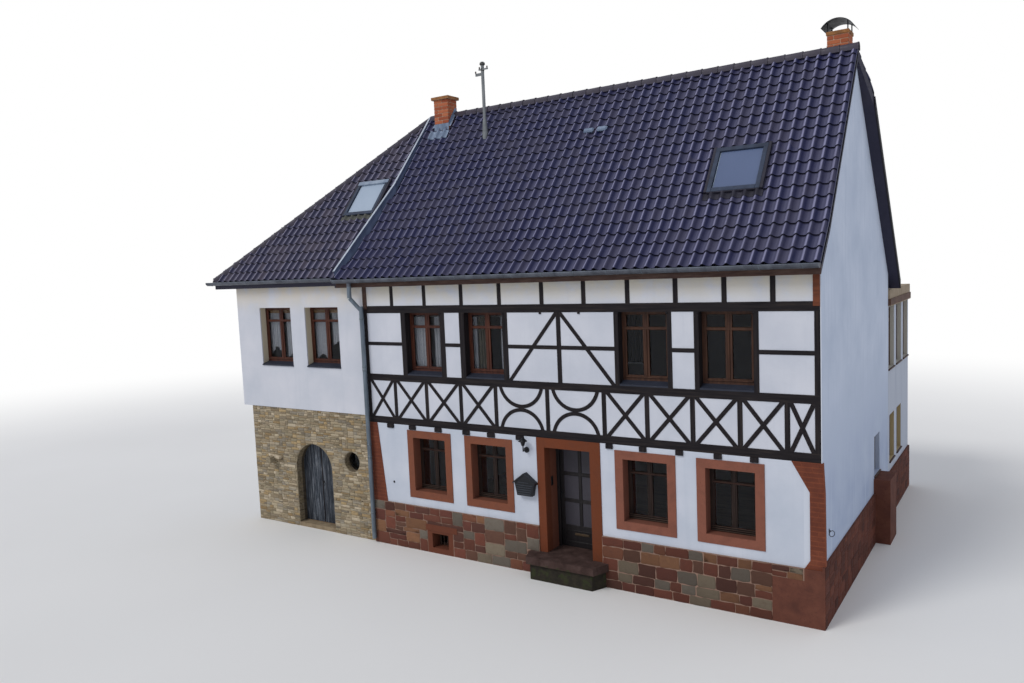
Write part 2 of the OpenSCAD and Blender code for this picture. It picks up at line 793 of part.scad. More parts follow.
// Painted pilasters, spreading at head and foot
module corner_pilasters() {
  head_w = 493;
  waist_w = 200;
  foot_w = corner_foot_w;
  head_h = 507;
  foot_h = 150;
  top = beam_z;
  left_head_w = 232;
  left_foot_w = 422;
  color("firebrick") {
    wall_y(-surround_out - cut, surround_out + cut) {
      polygon([
        [house_w + pilaster_out[0], top], [house_w - head_w, top], [house_w - waist_w, top - head_h],
        [house_w - waist_w, plinth_h + foot_h], [house_w - foot_w, plinth_h], [house_w - joint, plinth_h],
        [house_w - joint, painted_h + joint], [house_w + pilaster_out[2], painted_h + joint],
        [house_w + pilaster_out[1], top - head_h]]);
      polygon([[0, plinth_h], [left_foot_w, plinth_h], [left_head_w, top], [0, top]]);
    }
    wall_y(-surround_out - cut, surround_out + cut + pilaster_back) polygon([
      [house_w, painted_h + joint], [house_w + pilaster_out[2], painted_h + joint],
      [house_w + pilaster_out[1], top - head_h], [house_w + pilaster_out[0], top], [house_w, top]]);
  }
}

module frame_rails() {
  color("dimgray") wall_y(0, frame_t) {
    rails_2d();
    mid_rails_2d();
  }
}

module frame_posts() {
  color("dimgray") difference() {
    wall_y(0, frame_t) {
      parapet_posts_2d();
      storey_posts_2d();
      band_posts_2d();
    }
    above_main();
  }
}

module joist_ends() {
  color("dimgray") difference() {
    for (x = joist_x) {
      w = joist_w[x < house_w / 2 ? 0 : 1];
      box(x - w / 2, -joist_out, beam_z - joist_h, w, joist_out, joist_h);
    }
    box(door_x - jamb_w[0], -2 * joist_out, 0, door_w + jamb_w[0] + jamb_w[1], 3 * joist_out, beam_z + cut);
  }
}

module parapet_braces() {
  color("dimgray") wall_y(0, frame_t) parapet_braces_2d();
}

module long_braces() {
  color("dimgray") wall_y(0, frame_t) long_braces_2d();
}

module infill_panels() {
  color("whitesmoke") difference() {
    wall_y(plaster_in, frame_t - plaster_in) difference() {
      rect(0, beam_top, frame_x1, band_top + band_h - beam_top);
      rails_2d();
      mid_rails_2d();
      parapet_posts_2d();
      storey_posts_2d();
      band_posts_2d();
      parapet_braces_2d();
      long_braces_2d();
      for (x = upper_x) rect(x - upper_win_w / 2, storey_z, upper_win_w, storey_h);
    }
    above_main();
  }
}

// Eaves board in front of the roof's foot, end boards under it and the rear slope's barge board
module trim_boards() {
  barge_t = 25;
  y0 = ridge_y + verge_run;
  x0 = house_w + rear_verge_out;
  eaves_board_h = 152;
  end_board = [110, 12, 512];
  color("brown") box(gutter_x, -eave_out - board_t, band_top, house_w + verge_out - gutter_x, board_t,
    eaves_board_h);
  color("brown") for (x = [0, frame_x1 - end_board[0]])
    box(x, -end_board[1], band_top - end_board[2], end_board[0], end_board[1], end_board[2]);
  color("dimgray") wall_x(x0, barge_t) polygon([
    [y0, roof_top(y0)], [rear_eave_y, roof_top(rear_eave_y)],
    [rear_eave_y, roof_top(rear_eave_y) - roof_v], [y0, roof_top(y0) - roof_v]]);
}

module gable_wall() {
  x0 = house_w - side_t;
  color("gainsboro") difference() {
    box(x0, 0, 0, side_t, house_d, sky);
    box(x0 - cut, -cut, beam_z, side_t - render_t + cut, frame_t + cut, sky);
    above_main();
    back_openings() back_hole();
  }
}

// Painted plinth along the gable, its block on the front and the block under the gable window
module gable_plinth() {
  block_y = gable_win_y - gable_block[0] / 2;
  color("firebrick") {
    box(house_w, -plinth_out, 0, plinth_out, ext_y1 + plinth_out, painted_h);
    wall_y(-plinth_out, plinth_out) {
      rect(house_w - corner_block_w, 0, corner_block_w - joint, corner_block_h - joint);
      rect(house_w - corner_foot_w, corner_block_h, corner_foot_w - joint, plinth_h - corner_block_h);
    }
    box(house_w + plinth_out + joint, block_y, 0, gable_block[1] - plinth_out, gable_block[0],
      gable_block[2]);
    box(house_w, block_y, painted_h + joint, 2 * plinth_out, gable_block[0],
      gable_block[2] - painted_h - joint);
  }
}

module party_wall() {
  color("gainsboro") difference() {
    union() {
      box(0, stone_t, 0, side_t, house_d - side_t - stone_t, beam_z);
      box(0, frame_t, beam_z, side_t, house_d - side_t - frame_t, sky - beam_z);
    }
    above_main();
  }
}

// Rear wall with plain windows to the left of the extension
module rear_wall() {
  color("gainsboro") difference() {
    box(0, house_d - side_t, 0, house_w - side_t, side_t, sky);
    above_main();
    back_openings() back_hole();
  }
}

module floors() {
  low_z = sill_z - beam_h;
  color("burlywood") difference() {
    union() {
      for (z = [low_z, beam_z, plate_z]) {
        y0 = z < beam_z ? stone_t : frame_t;
        box(side_t, y0, z, house_w - 2 * side_t, house_d - side_t - y0, beam_h);
      }
      box(side_stone_x0 + side_wall_t, side_stone_t, 0, -side_stone_x0 - side_wall_t,
        side_d - side_wall_t - side_stone_t, side_floor_z);
      box(board_t - side_w, side_stone_t, beam_z, side_w - board_t, side_d - side_stone_t - board_t, beam_h);
      box(side_wall_t - side_w, side_wall_t - side_out, plate_z, side_w - side_wall_t,
        side_d - 2 * side_wall_t + side_out, beam_h);
      for (z = [low_z, beam_z])
        box(ext_x0 + ext_t, house_d, z, ext_w - 2 * ext_t, ext_d - ext_t, beam_h);
    }
    above_main();
  }
}

// Places a roof window on its slope, with Z out of the roof
module on_main_slope() {
  translate([main_light_x, main_light_y, roof_top(main_light_y)]) rotate([front_pitch, 0, 0]) children();
}

module on_side_slope() {
  translate([side_light_x, side_light_y, side_roof_top(side_light_y)])
    rotate([side_pitch, 0, 0]) children();
}

// Opening in the roof below a roof window
module light_cut() {
  cube([light_size[0] - 2 * cut, light_size[1] - 2 * cut, 3 * roof_v], center = true);
}

module roof_front() {
  color("slategray") difference() {
    wall_x(-2 * side_w, 2 * side_w + house_w + verge_out) polygon([
      [-eave_out, eave_top], [sprocket_y, sprocket_top], [ridge_y, ridge_z], [ridge_y, ridge_z - roof_v],
      [sprocket_y, sprocket_top - roof_v], [-eave_out, band_top]]);
    left_of_joint();
    on_main_slope() light_cut();
  }
}

module roof_rear() {
  z1 = roof_top(rear_eave_y);
  x1 = house_w + verge_out;
  x2 = house_w + rear_verge_out;
  color("slategray") intersection() {
    wall_x(joint_x, 2 * house_w) polygon([
      [ridge_y, ridge_z], [rear_eave_y, z1], [rear_eave_y, z1 - roof_v], [ridge_y, ridge_z - roof_v]]);
    linear_extrude(sky) polygon([
      [joint_x, ridge_y], [x1, ridge_y], [x2, ridge_y + verge_run], [x2, 2 * house_d],
      [joint_x, 2 * house_d]]);
  }
}

// Roof slab outline from a at the foot to b at the top
function slab_points(a, b) = [a, b, b - [0, roof_v], a - [0, roof_v]];

// Front, end and rear slopes, mitred at the hips
module side_roof() {
  low = side_eave_z;
  color("darkslategray") {
    difference() {
      intersection() {
        wall_x(side_left_x, -side_left_x) polygon(slab_points([-eave_out, low], [ridge_y, ridge_z]));
        linear_extrude(sky) offset(delta = -joint) polygon(concat([hip_foot], joint_line));
      }
      on_side_slope() light_cut();
    }
    intersection() {
      wall_y(-eave_out, side_rear_y + eave_out)
        polygon(slab_points([side_left_x, low], [joint_x, ridge_z]));
      linear_extrude(sky) offset(delta = -joint) polygon([hip_foot, roof_peak, rear_hip_foot]);
    }
    intersection() {
      wall_x(side_left_x, joint_x - side_left_x)
        polygon(slab_points([side_rear_y, low], [ridge_y, ridge_z]));
      linear_extrude(sky) offset(delta = -joint)
        polygon([rear_hip_foot, roof_peak, [joint_x, side_rear_y]]);
    }
  }
}

// Round bar from a to b, to be cut along the roof to leave its rounded top
module cap_bar(a, b, r) {
  d = b - a;
  translate(a) rotate([0, 90 - atan2(d[2], norm([d[0], d[1]])), atan2(d[1], d[0])])
    cylinder(r = r, h = norm(d), $fn = small_fn);
}

module ridge_caps() {
  ridge_end = [house_w + verge_out, ridge_y, ridge_z];
  peak = [joint_x, ridge_y, ridge_z];
  color("slategray") {
    difference() {
      translate([0, 0, -ridge_drop[0]]) cap_bar(peak, ridge_end, ridge_r);
      below_main(2 * joint_x, 2 * house_w);
      box(left_stack[0], left_stack[1], 0, left_stack_size[0], left_stack_size[1], sky);
      box(right_stack[0], right_stack[1], 0, right_stack_size[0], right_stack_size[1], sky);
    }
    for (s = [-1, 1]) difference() {
      foot = s < 0 ? hip_foot : rear_hip_foot;
      translate([0, 0, -ridge_drop[1]]) intersection() {
        cap_bar([foot[0], foot[1], side_eave_z], peak, ridge_r);
        box(side_left_x + board_t, board_t - eave_out, 0, house_w,
          side_rear_y + eave_out - 2 * board_t, sky);
      }
      translate([0, 0, joint]) below_side();
      box(joint_x - joint, -house_d, 0, house_w, 3 * house_d, sky);
      box(2 * side_left_x, s < 0 ? ridge_y - joint : ridge_y + joint - house_w, 0, house_w, house_w, sky);
    }
  }
}

// Zinc cheek that closes the step between the two roofs, and the apron of the left chimney
module roof_flashing() {
  apron = 160;
  cheek_t = 12;
  upstand = 20;
  shift = [cheek_t, 0];
  color("lightsteelblue") {
    difference() {
      linear_extrude(sky) polygon([joint_line[0], joint_line[1], joint_line[2], joint_line[2] + shift,
        joint_line[1] + shift, joint_line[0] + shift]);
      below_main(2 * joint_foot_x, house_w);
      translate([0, 0, upstand]) wall_x(2 * joint_foot_x, house_w) polygon([
        [-eave_out - cut, side_eave_z], [ridge_y, ridge_z], [ridge_y, sky], [-eave_out - cut, sky]]);
      box(2 * joint_foot_x, ridge_y - 2 * ridge_r, 0, house_w, house_d, sky);
    }
    intersection() {
      box(left_stack[0] - apron, left_stack[1] - apron, 0, left_stack_size[0] + 2 * apron,
        apron - joint, sky);
      wall_x(0, house_w) polygon([
        [sprocket_y, sprocket_top], [ridge_y, ridge_z], [ridge_y, ridge_z + zinc_t],
        [sprocket_y, sprocket_top + zinc_t]]);
    }
  }
}

module light_frame_ring() {
  difference() {
    translate([0, 0, light_up / 2 - roof_v / 4])
      cube([light_size[0] - 2 * cut, light_size[1] - 2 * cut, light_up + roof_v / 2], center = true);
    cube([light_size[0] - 2 * light_frame, light_size[1] - 2 * light_frame, 3 * roof_v], center = true);
  }
}

module roof_windows() {
  color("gray") {
    on_main_slope() light_frame_ring();
    on_side_slope() light_frame_ring();
  }
}

// A shaft whose foot follows the roof's upper face
module stack(at, size) {
  foot = ridge_z - size[1] * 3;
  difference() {
    box(at[0], at[1], foot, size[0], size[1], at[2] - foot);
    below_main(at[0] - cut, at[0] + size[0] + cut);
  }
}

module chimneys() {
  s = left_stack_size;
  over = cover_slab[1];
  color("coral") {
    stack(left_stack, s);
    box(left_stack[0] - over, left_stack[1] - over, left_stack[2], s[0] + 2 * over, s[1] + 2 * over,
      cover_slab[0]);
    stack(right_stack, right_stack_size);
  }
}

// Curved sheet over the right chimney on four short legs
module chimney_cap() {
  leg = 20;
  w = right_stack_size[0] + 2 * cap_out;
  rise = cap_size[1];
  r = (w * w / 4 + rise * rise) / (2 * rise);
  xm = right_stack[0] + right_stack_size[0] / 2;
  y0 = right_stack[1];
  d = right_stack_size[1];
  z0 = right_stack[2] + cap_size[0];
  color("dimgray") difference() {
    union() {
      translate([0, y0 - cap_out, 0]) wall_y(0, d + 2 * cap_out) intersection() {
        translate([xm, z0 + rise - r]) difference() {
          circle(r, $fn = curve_fn);
          circle(r - cap_t, $fn = curve_fn);
        }
        rect(xm - w / 2, z0, w, rise);
      }
      for (x = [right_stack[0], right_stack[0] + right_stack_size[0] - leg], y = [y0, y0 + d - leg])
        box(x, y, right_stack[2], leg, leg, cap_size[0] + rise);
    }
    wall_y(y0 - house_w / 2, house_w) difference() {
      rect(xm - w, z0 + cut, 2 * w, 2 * rise);
      translate([xm, z0 + rise - r]) circle(r, $fn = curve_fn);
    }
  }
}

module service_mast() {
  r = mast_size[0];
  z0 = roof_top(mast_at[1]);
  color("lightgray") difference() {
    translate([mast_x, mast_at[1], z0]) {
      translate([0, 0, -4 * r]) cylinder(r = r, h = mast_size[1] + 4 * r, $fn = small_fn);
      translate([0, 0, -4 * r]) cylinder(r1 = 2 * r, r2 = r + joint, h = 14 * r, $fn = small_fn);
      for (z = [mast_size[1] - 5 * r]) translate([r - mast_arm[0] / 2, -r - joint, z])
        cube([mast_arm[0], mast_arm[1], mast_arm[1]]);
      translate([-r / 2 - mast_arm[2], -mast_arm[1] / 2, mast_size[1] - 8 * r])
        cube([mast_arm[2], mast_arm[1], 2 * mast_arm[1]]);
    }
    below_main(mast_x - 4 * r, mast_x + 4 * r);
  }
}

// Half round gutter, its back against the face at y1 and its rim at z1
module gutter(x0, x1, y1, z1) {
  translate([0, y1 - gutter_r, z1]) {
    wall_x(x0, x1 - x0) difference() {
      circle(gutter_r, $fn = small_fn);
      circle(gutter_r - sheet_t, $fn = small_fn);
      translate([-2 * gutter_r, 0]) square(4 * gutter_r);
    }
    for (x = [x0, x1 - sheet_t]) wall_x(x, sheet_t) difference() {
      circle(gutter_r, $fn = small_fn);
      translate([-2 * gutter_r, 0]) square(4 * gutter_r);
    }
  }
}

// Gutters of the front and of the left end, and the downpipe at the house's left corner
module rainwater_pipes() {
  rim = eave_top - sheet_t;
  side_rim = side_eave_z - 2 * sheet_t;
  front_y = -eave_out - board_t;
  wall_pipe = [30, -pipe_r - surround_out - plinth_out];
  low_z = band_z - 2 * pipe_r;
  outlet = [outlet_x, front_y - gutter_r, rim - gutter_r + sheet_t / 2];
  bend = outlet - [0, 0, outlet_drop];
  color("slategray") {
    gutter(gutter_x, house_w + verge_out, front_y, rim);
    gutter(side_left_x - 2 * gutter_r, gutter_x - joint, -eave_out, side_rim);
    rotate(-90) gutter(-side_rear_y, eave_out - joint, side_left_x, side_rim);
    translate([wall_pipe[0], wall_pipe[1], plinth_h / 10]) cylinder(r = pipe_r, h = low_z, $fn = small_fn);
    cap_bar(bend, [wall_pipe[0], wall_pipe[1], low_z], pipe_r - sheet_t);
    translate(bend) cylinder(r = pipe_r, h = outlet_drop, $fn = small_fn);
  }
}

// Outline of the arched doorway, grown by d
module arch_2d(d) {
  r = arch_half + d;
  translate([arch_x, arch_c]) circle(r, $fn = curve_fn);
  rect(arch_x - r, side_floor_z - cut, 2 * r, arch_c - side_floor_z + cut);
}

module side_stone_front() {
  x1 = arch_x + arch_half;
  color("tan") {
    box(side_stone_x0, 0, 0, arch_x - arch_half - side_stone_x0, side_stone_t, beam_top);
    translate([spout_at[0] - spout_size[0] / 2, -spout_size[1] - joint, spout_at[1] - spout_size[2] / 2])
      cube(spout_size);
    difference() {
      box(x1, 0, 0, -x1, side_stone_t, beam_top);
      translate([oculus[0], side_stone_t + cut, oculus[1]]) rotate([90, 0, 0])
        cylinder(r = oculus[2], h = side_stone_t + 2 * cut, $fn = curve_fn);
    }
  }
}

module side_arch_head() {
  color("tan") wall_y(0, side_stone_t) difference() {
    rect(arch_x - arch_half, arch_c, 2 * arch_half, beam_top - arch_c);
    translate([arch_x, arch_c]) circle(arch_half, $fn = curve_fn);
  }
}

module side_upper_wall() {
  color("white") trim_to_side_roof() wall_y(-side_out, side_wall_t) difference() {
    rect(-side_w, beam_top, side_w, sky - beam_top);
    for (x = side_win_x) rect(x - side_win[0] / 2, side_win_z, side_win[0], side_win[1]);
  }
}

module side_back_walls() {
  x0 = side_stone_x0;
  y1 = side_d - side_wall_t;
  y0 = side_wall_t - side_out;
  color("gainsboro") trim_to_side_roof() {
    box(x0, side_stone_t, 0, side_wall_t, y1 - side_stone_t - joint, beam_z);
    box(x0, y1, 0, -x0, side_wall_t, beam_z);
    box(-side_w, y0, beam_top, side_wall_t, y1 - y0 - joint, sky - beam_top);
    box(-side_w, y1, beam_top, side_w, side_wall_t, sky - beam_top);
  }
}

// One leaf of the arched doorway behind the stone, s is -1 for the left leaf
module arch_leaf(s) {
  y0 = side_stone_t + arch_gap;
  pin_x = arch_x + s * (arch_half + arch_lap);
  color("slateblue") {
    wall_y(y0, arch_leaf_t) intersection() {
      difference() {
        arch_2d(arch_lap);
        rect(arch_x - house_w / 2, -cut, house_w, side_floor_z + arch_gap + cut);
      }
      rect(s < 0 ? arch_x - house_w : arch_x + arch_gap / 2, 0, house_w - arch_gap / 2, sky);
    }
    translate([pin_x, side_stone_t + arch_pin_r + hinge_gap, side_floor_z + hinge_gap])
      cylinder(r = arch_pin_r, h = arch_c - side_floor_z - hinge_gap, $fn = small_fn);
  }
}

module arch_door_left() {
  arch_leaf(-1);
}

module arch_door_right() {
  arch_leaf(1);
}

// Runs its child once for every opening in the gable and at the back, in the opening's own
// frame: X across, Y inwards and Z up, with the size in $size
module back_openings() {
  for (y = ext_upper_y, $size = [ext_upper])
    translate([house_w, house_d + y, ext_upper_z]) rotate(90) children();
  for (y = ext_lower_y, $size = [ext_lower])
    translate([house_w, house_d + y, ext_lower_z]) rotate(90) children();
  for (share = [0.3, 0.7], $size = [ext_upper])
    translate([house_w - ext_w * share, ext_y1, ext_upper_z]) rotate(180) children();
  for (x = rear_win_x) let (x = x * spread) {
    for ($size = [ext_upper]) translate([x, house_d, ext_upper_z]) rotate(180) children();
    for ($size = [ext_lower]) translate([x, house_d, ext_lower_z]) rotate(180) children();
  }
  for ($size = [gable_win]) translate([house_w, gable_win_y, gable_win_z]) rotate(90) children();
}

module back_pane() {
  pane_xz(-$size[0] / 2, 0, $size, back_set);
}

module back_frame() {
  frame_xz(-$size[0] / 2, 0, $size, back_set);
}

module back_hole() {
  box(-$size[0] / 2, -cut, 0, $size[0], max(ext_t, side_t) + 2 * cut, $size[1]);
}

// Three walls that meet in plain joints
module extension_walls() {
  x1 = house_w - ext_t;
  y1 = ext_y1 - ext_t;
  color("gainsboro") difference() {
    union() {
      box(ext_x0, house_d, 0, ext_t, ext_d - ext_t - joint, ext_h);
      box(x1, house_d, 0, ext_t, ext_d - ext_t - joint, ext_h);
      box(ext_x0, y1, 0, ext_w, ext_t, ext_h);
    }
    back_openings() back_hole();
  }
}

module extension_roof() {
  color("tan") {
    box(ext_x0 - ext_fascia[1], house_d, ext_h, ext_w + 2 * ext_fascia[1], ext_d + ext_fascia[1],
      ext_fascia[0]);
    box(ext_x0 - ext_edge[1], house_d, ext_h + ext_fascia[0], ext_w + 2 * ext_edge[1], ext_d + ext_edge[1],
      ext_edge[0]);
  }
}

module extension_windows() {
  color("saddlebrown") back_openings() back_frame();
}

// The pier between the last left window and the door carries the letter box and the lamp
pier_x = [lower_x[1] + lower_win[0] / 2 + surround_w, door_x - jamb_w[0]];

// Letter box with a pitched lid, its sides narrowing to the foot
module letter_box() {
  wide = pier_x[1] - pier_x[0];
  foot = wide * box_share[0] / 2;
  top = wide * box_share[1] / 2;
  eave = wide * box_share[2] / 2;
  h = box_size[1];
  rise = box_lid[1];
  lid_t = box_lid[0];
  color("dimgray") translate([pier_x[1] - eave - joint, 0, box_z]) {
    wall_y(-box_size[0], box_size[0]) polygon([
      [-foot, 0], [foot, 0], [top, h], [0, h + rise - lid_t / 2], [-top, h]]);
    wall_y(-box_size[0] - lid_t, box_size[0] + lid_t) polygon([
      [-eave, h - lid_t], [-eave, h], [0, h + rise], [eave, h], [eave, h - lid_t], [0, h + rise - lid_t]]);
  }
}

// Wall plate, bent arm and lantern
module wall_lamp() {
  t = lamp_arm[2];
  r = lamp_size[0];
  color("dimgray") translate([pier_x[0] + (pier_x[1] - pier_x[0]) * box_share[0], 0, sill_z + lamp_up]) {
    rotate([90, 0, 0]) cylinder(r = lamp_plate[0], h = lamp_plate[1], $fn = small_fn);
    box(-t / 2, -lamp_arm[0] - t / 2, -t / 2, t, lamp_arm[0] + t / 2, t);
    box(-t / 2, -lamp_arm[0] - t / 2, -t / 2, t, t, lamp_arm[1] + t);
    translate([0, -lamp_arm[0], lamp_arm[1]]) {
      cylinder(r1 = r / 2, r2 = r, h = lamp_size[1] * 3 / 4, $fn = small_fn);
      translate([0, 0, lamp_size[1] * 3 / 4])
        cylinder(r1 = r, r2 = t / 2, h = lamp_size[1] / 2, $fn = small_fn);
    }
  }
}

front_plinth();
front_wall_left();
front_wall_right();
door_head_wall();
door_surround();
door_step();
front_door();
window_surrounds();
lower_windows();
upper_windows();
window_glass();
corner_pilasters();
frame_rails();
frame_posts();
joist_ends();
parapet_braces();
long_braces();
infill_panels();
trim_boards();
gable_wall();
gable_plinth();
party_wall();
rear_wall();
floors();
roof_front();
roof_rear();
side_roof();
ridge_caps();
roof_flashing();
roof_windows();
chimneys();
chimney_cap();
service_mast();
rainwater_pipes();
side_stone_front();
side_arch_head();
side_upper_wall();
side_back_walls();
arch_door_left();
arch_door_right();
extension_walls();
extension_roof();
extension_windows();
letter_box();
wall_lamp();
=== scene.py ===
"""Half timbered house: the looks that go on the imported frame. Lengths are millimetres in the
frame's own axes, and Bag.make() turns them into metres."""

import random
from math import atan, copysign, cos, hypot, pi, radians, sin, sqrt, tan

import bmesh
import bpy
from mathutils import Matrix, Vector


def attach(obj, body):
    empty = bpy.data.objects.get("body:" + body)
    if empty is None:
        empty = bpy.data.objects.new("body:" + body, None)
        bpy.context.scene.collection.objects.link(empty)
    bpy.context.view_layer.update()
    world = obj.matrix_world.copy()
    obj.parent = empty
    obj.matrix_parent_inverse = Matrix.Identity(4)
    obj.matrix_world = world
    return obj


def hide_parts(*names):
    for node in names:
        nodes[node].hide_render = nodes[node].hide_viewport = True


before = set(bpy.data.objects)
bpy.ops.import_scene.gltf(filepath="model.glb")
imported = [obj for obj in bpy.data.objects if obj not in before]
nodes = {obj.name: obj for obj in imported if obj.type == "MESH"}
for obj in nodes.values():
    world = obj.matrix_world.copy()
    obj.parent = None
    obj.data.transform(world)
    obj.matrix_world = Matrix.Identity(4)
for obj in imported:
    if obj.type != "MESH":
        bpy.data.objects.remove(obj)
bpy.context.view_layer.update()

# Measures of the frame
HOUSE_W, HOUSE_D = 10000, 6625
PLINTH_Z, BEAM_Z, BEAM_TOP, PLATE_Z = 1008, 2828, 2983, 5337
VERGE, REAR_VERGE = HOUSE_W + 40, HOUSE_W + 200
EAVE_TOP, EAVE_Y = 6123, -165
SPROCKET = (495.0, 6796.9)
SPROCKET_PITCH, FRONT_PITCH = radians(45.6), radians(52.7)
PEAK_X, RIDGE_Y = -45.0, 2928.0
# Length of the sprocketed foot up the slope
SPROCKET_RUN = (SPROCKET[0] - EAVE_Y) / cos(SPROCKET_PITCH)
RIDGE_Z = SPROCKET[1] + (RIDGE_Y - SPROCKET[0]) * tan(FRONT_PITCH)
REAR_EAVE_Y, REAR_EAVE_Z = 6925.0, 5567.0
REAR_PITCH = atan((RIDGE_Z - REAR_EAVE_Z) / (REAR_EAVE_Y - RIDGE_Y))
SIDE_EAVE_Z = 6170.0
SIDE_LEFT_X, SIDE_REAR_Y = -4998.0, 6021.0
SIDE_PITCH = atan((RIDGE_Z - SIDE_EAVE_Z) / (RIDGE_Y - EAVE_Y))
END_PITCH = atan((RIDGE_Z - SIDE_EAVE_Z) / (PEAK_X - SIDE_LEFT_X))
# Joint between the two roofs, from the eave to the ridge
JOINT = [(-700.0, -165.0), (-150.0, 1495.0), (PEAK_X, RIDGE_Y)]
MAST, LOWER_SET = (1930.0, 2410.0), 220
UPPER_X, LOWER_X, SIDE_X = (1700, 3307, 6863, 8418), (1720, 3305, 6840, 8450), (-2960, -1350)
LOWER_Z, LOWER_H = 1358, 1200
# Width of a window's fixed frame and of its middle bars, and the transom's share of its height
FRAME_W, BAR_W, TRANSOM = 50, 40, 0.74
# Centre of the arched doorway's curve, and of the round window
ARCH_X, ARCH_Z = -1950.0, 1513.0
ROUND_X, ROUND_Z = -650.0, 1812.0
# Left, front, width and depth of each chimney
CHIMNEYS = ((270, 2640, 420, 360), (9480, 2990, 380, 400))
# Each gutter's back edge, rim height, bracket places and the ends of its front rim
GUTTER_R = 84
GUTTERS = ((-185, 6118, range(-560, 10040, 690), (-640, 10040)),
           (-165, 6160, range(-5000, -700, 690), (-5158, -642)))
TURN = [2 * pi * k / 20 for k in range(21)]


def roof_top(y):
    if y < SPROCKET[0]:
        return EAVE_TOP + (y - EAVE_Y) * tan(SPROCKET_PITCH)
    if y < RIDGE_Y:
        return SPROCKET[1] + (y - SPROCKET[0]) * tan(FRONT_PITCH)
    return RIDGE_Z - (y - RIDGE_Y) * tan(REAR_PITCH)


def side_top(y):
    return SIDE_EAVE_Z + (y - EAVE_Y) * tan(SIDE_PITCH)


# Materials
def rgb(code, alpha=1.0):
    """A colour such as 'a1b2c3', as a screen shows it, in linear light."""
    parts = [int(code[i:i + 2], 16) / 255 for i in (0, 2, 4)]
    return tuple(c / 12.92 if c < 0.04045 else ((c + 0.055) / 1.055) ** 2.4 for c in parts) + (alpha,)


class Paint:
    """Builds one procedural material, with object coordinates in metres."""

    def __init__(self, name, rough=0.6, metal=0.0, **sockets):
        self.mat = bpy.data.materials.new(name)
        self.mat.use_nodes = True
        self.tree = self.mat.node_tree
        self.bsdf = self.tree.nodes["Principled BSDF"]
        self.bsdf.inputs["Roughness"].default_value = rough
        self.bsdf.inputs["Metallic"].default_value = metal
        for key, value in sockets.items():
            self.bsdf.inputs[key.replace("_", " ")].default_value = value
        self.coords = self.tree.nodes.new("ShaderNodeTexCoord").outputs["Object"]

    def put(self, socket, value):
        if isinstance(value, bpy.types.NodeSocket):
            self.tree.links.new(value, socket)
        elif isinstance(value, str):
            socket.default_value = rgb(value)
        else:
            socket.default_value = value

    def node(self, kind, output, inputs, **settings):
        """Adds a node, sets it up, and returns the output that is asked for."""
        n = self.tree.nodes.new("ShaderNode" + kind)
        for key, value in settings.items():
            setattr(n, key, value)
        for key, value in inputs.items():
            self.put(n.inputs[key], value)
        return n.outputs[output]

    def vec(self, scale):
        return self.node("Mapping", 0, {"Scale": scale, "Vector": self.coords})

    def noise(self, scale, detail=3.0, rough=0.55, vec=None, warp=0.0):
        return self.node("TexNoise", "Fac", {"Vector": vec or self.coords, "Scale": scale, "Detail": detail,
                                             "Roughness": rough, "Distortion": warp})

    def cells(self, scale, vec=None, feature="F1", output="Distance"):
        return self.node("TexVoronoi", output, {"Vector": vec or self.coords, "Scale": scale},
                         feature=feature)

    def ramp(self, fac, *stops):
        n = self.tree.nodes.new("ShaderNodeValToRGB")
        el = n.color_ramp.elements
        while len(el) < len(stops):
            el.new(0.5)
        for e, (pos, col) in zip(el, stops):
            e.position = pos
            e.color = rgb(col) if isinstance(col, str) else (col, col, col, 1)
        self.put(n.inputs["Fac"], fac)
        return n.outputs["Color"]

    def mix(self, fac, a, b, mode="MIX"):
        return self.node("Mix", 2, {0: fac, 6: a, 7: b}, data_type="RGBA", blend_type=mode)

    def calc(self, op, a, b):
        return self.node("Math", 0, {0: a, 1: b}, operation=op)

    def times(self, a, b):
        return self.calc("MULTIPLY", a, b)

    def above(self, which, limit):
        return self.calc("GREATER_THAN", self.axis(which), limit)

    def below(self, which, limit):
        return self.calc("LESS_THAN", self.axis(which), limit)

    def axis(self, which):
        return self.node("SeparateXYZ", which, {0: self.coords})

    def span(self, value, low, high):
        """0 below low and 1 above high, smooth between them."""
        return self.node("MapRange", 0, {0: value, 1: low, 2: high}, interpolation_type="SMOOTHSTEP")

    def patch(self, value, low, high, share):
        """As span, up to share in place of 1."""
        return self.times(self.span(value, low, high), share)

    def tint(self, channel=0):
        colour = self.node("Attribute", "Color", {}, attribute_name="tint")
        return self.node("SeparateColor", channel, {0: colour})

    def color(self, value):
        self.put(self.bsdf.inputs["Base Color"], value)
        return self

    def rough(self, value):
        self.put(self.bsdf.inputs["Roughness"], value)
        return self

    def bump(self, *layers):
        """Each layer is a height from 0 to 1 and its real depth in metres."""
        normal = None
        for height, depth in layers:
            below = {"Normal": normal} if normal else {}
            normal = self.node("Bump", 0, {"Height": height, "Distance": depth, **below})
        self.put(self.bsdf.inputs["Normal"], normal)
        return self


def matte(name, rough):
    return Paint(name, rough=rough, Specular_IOR_Level=0.25)


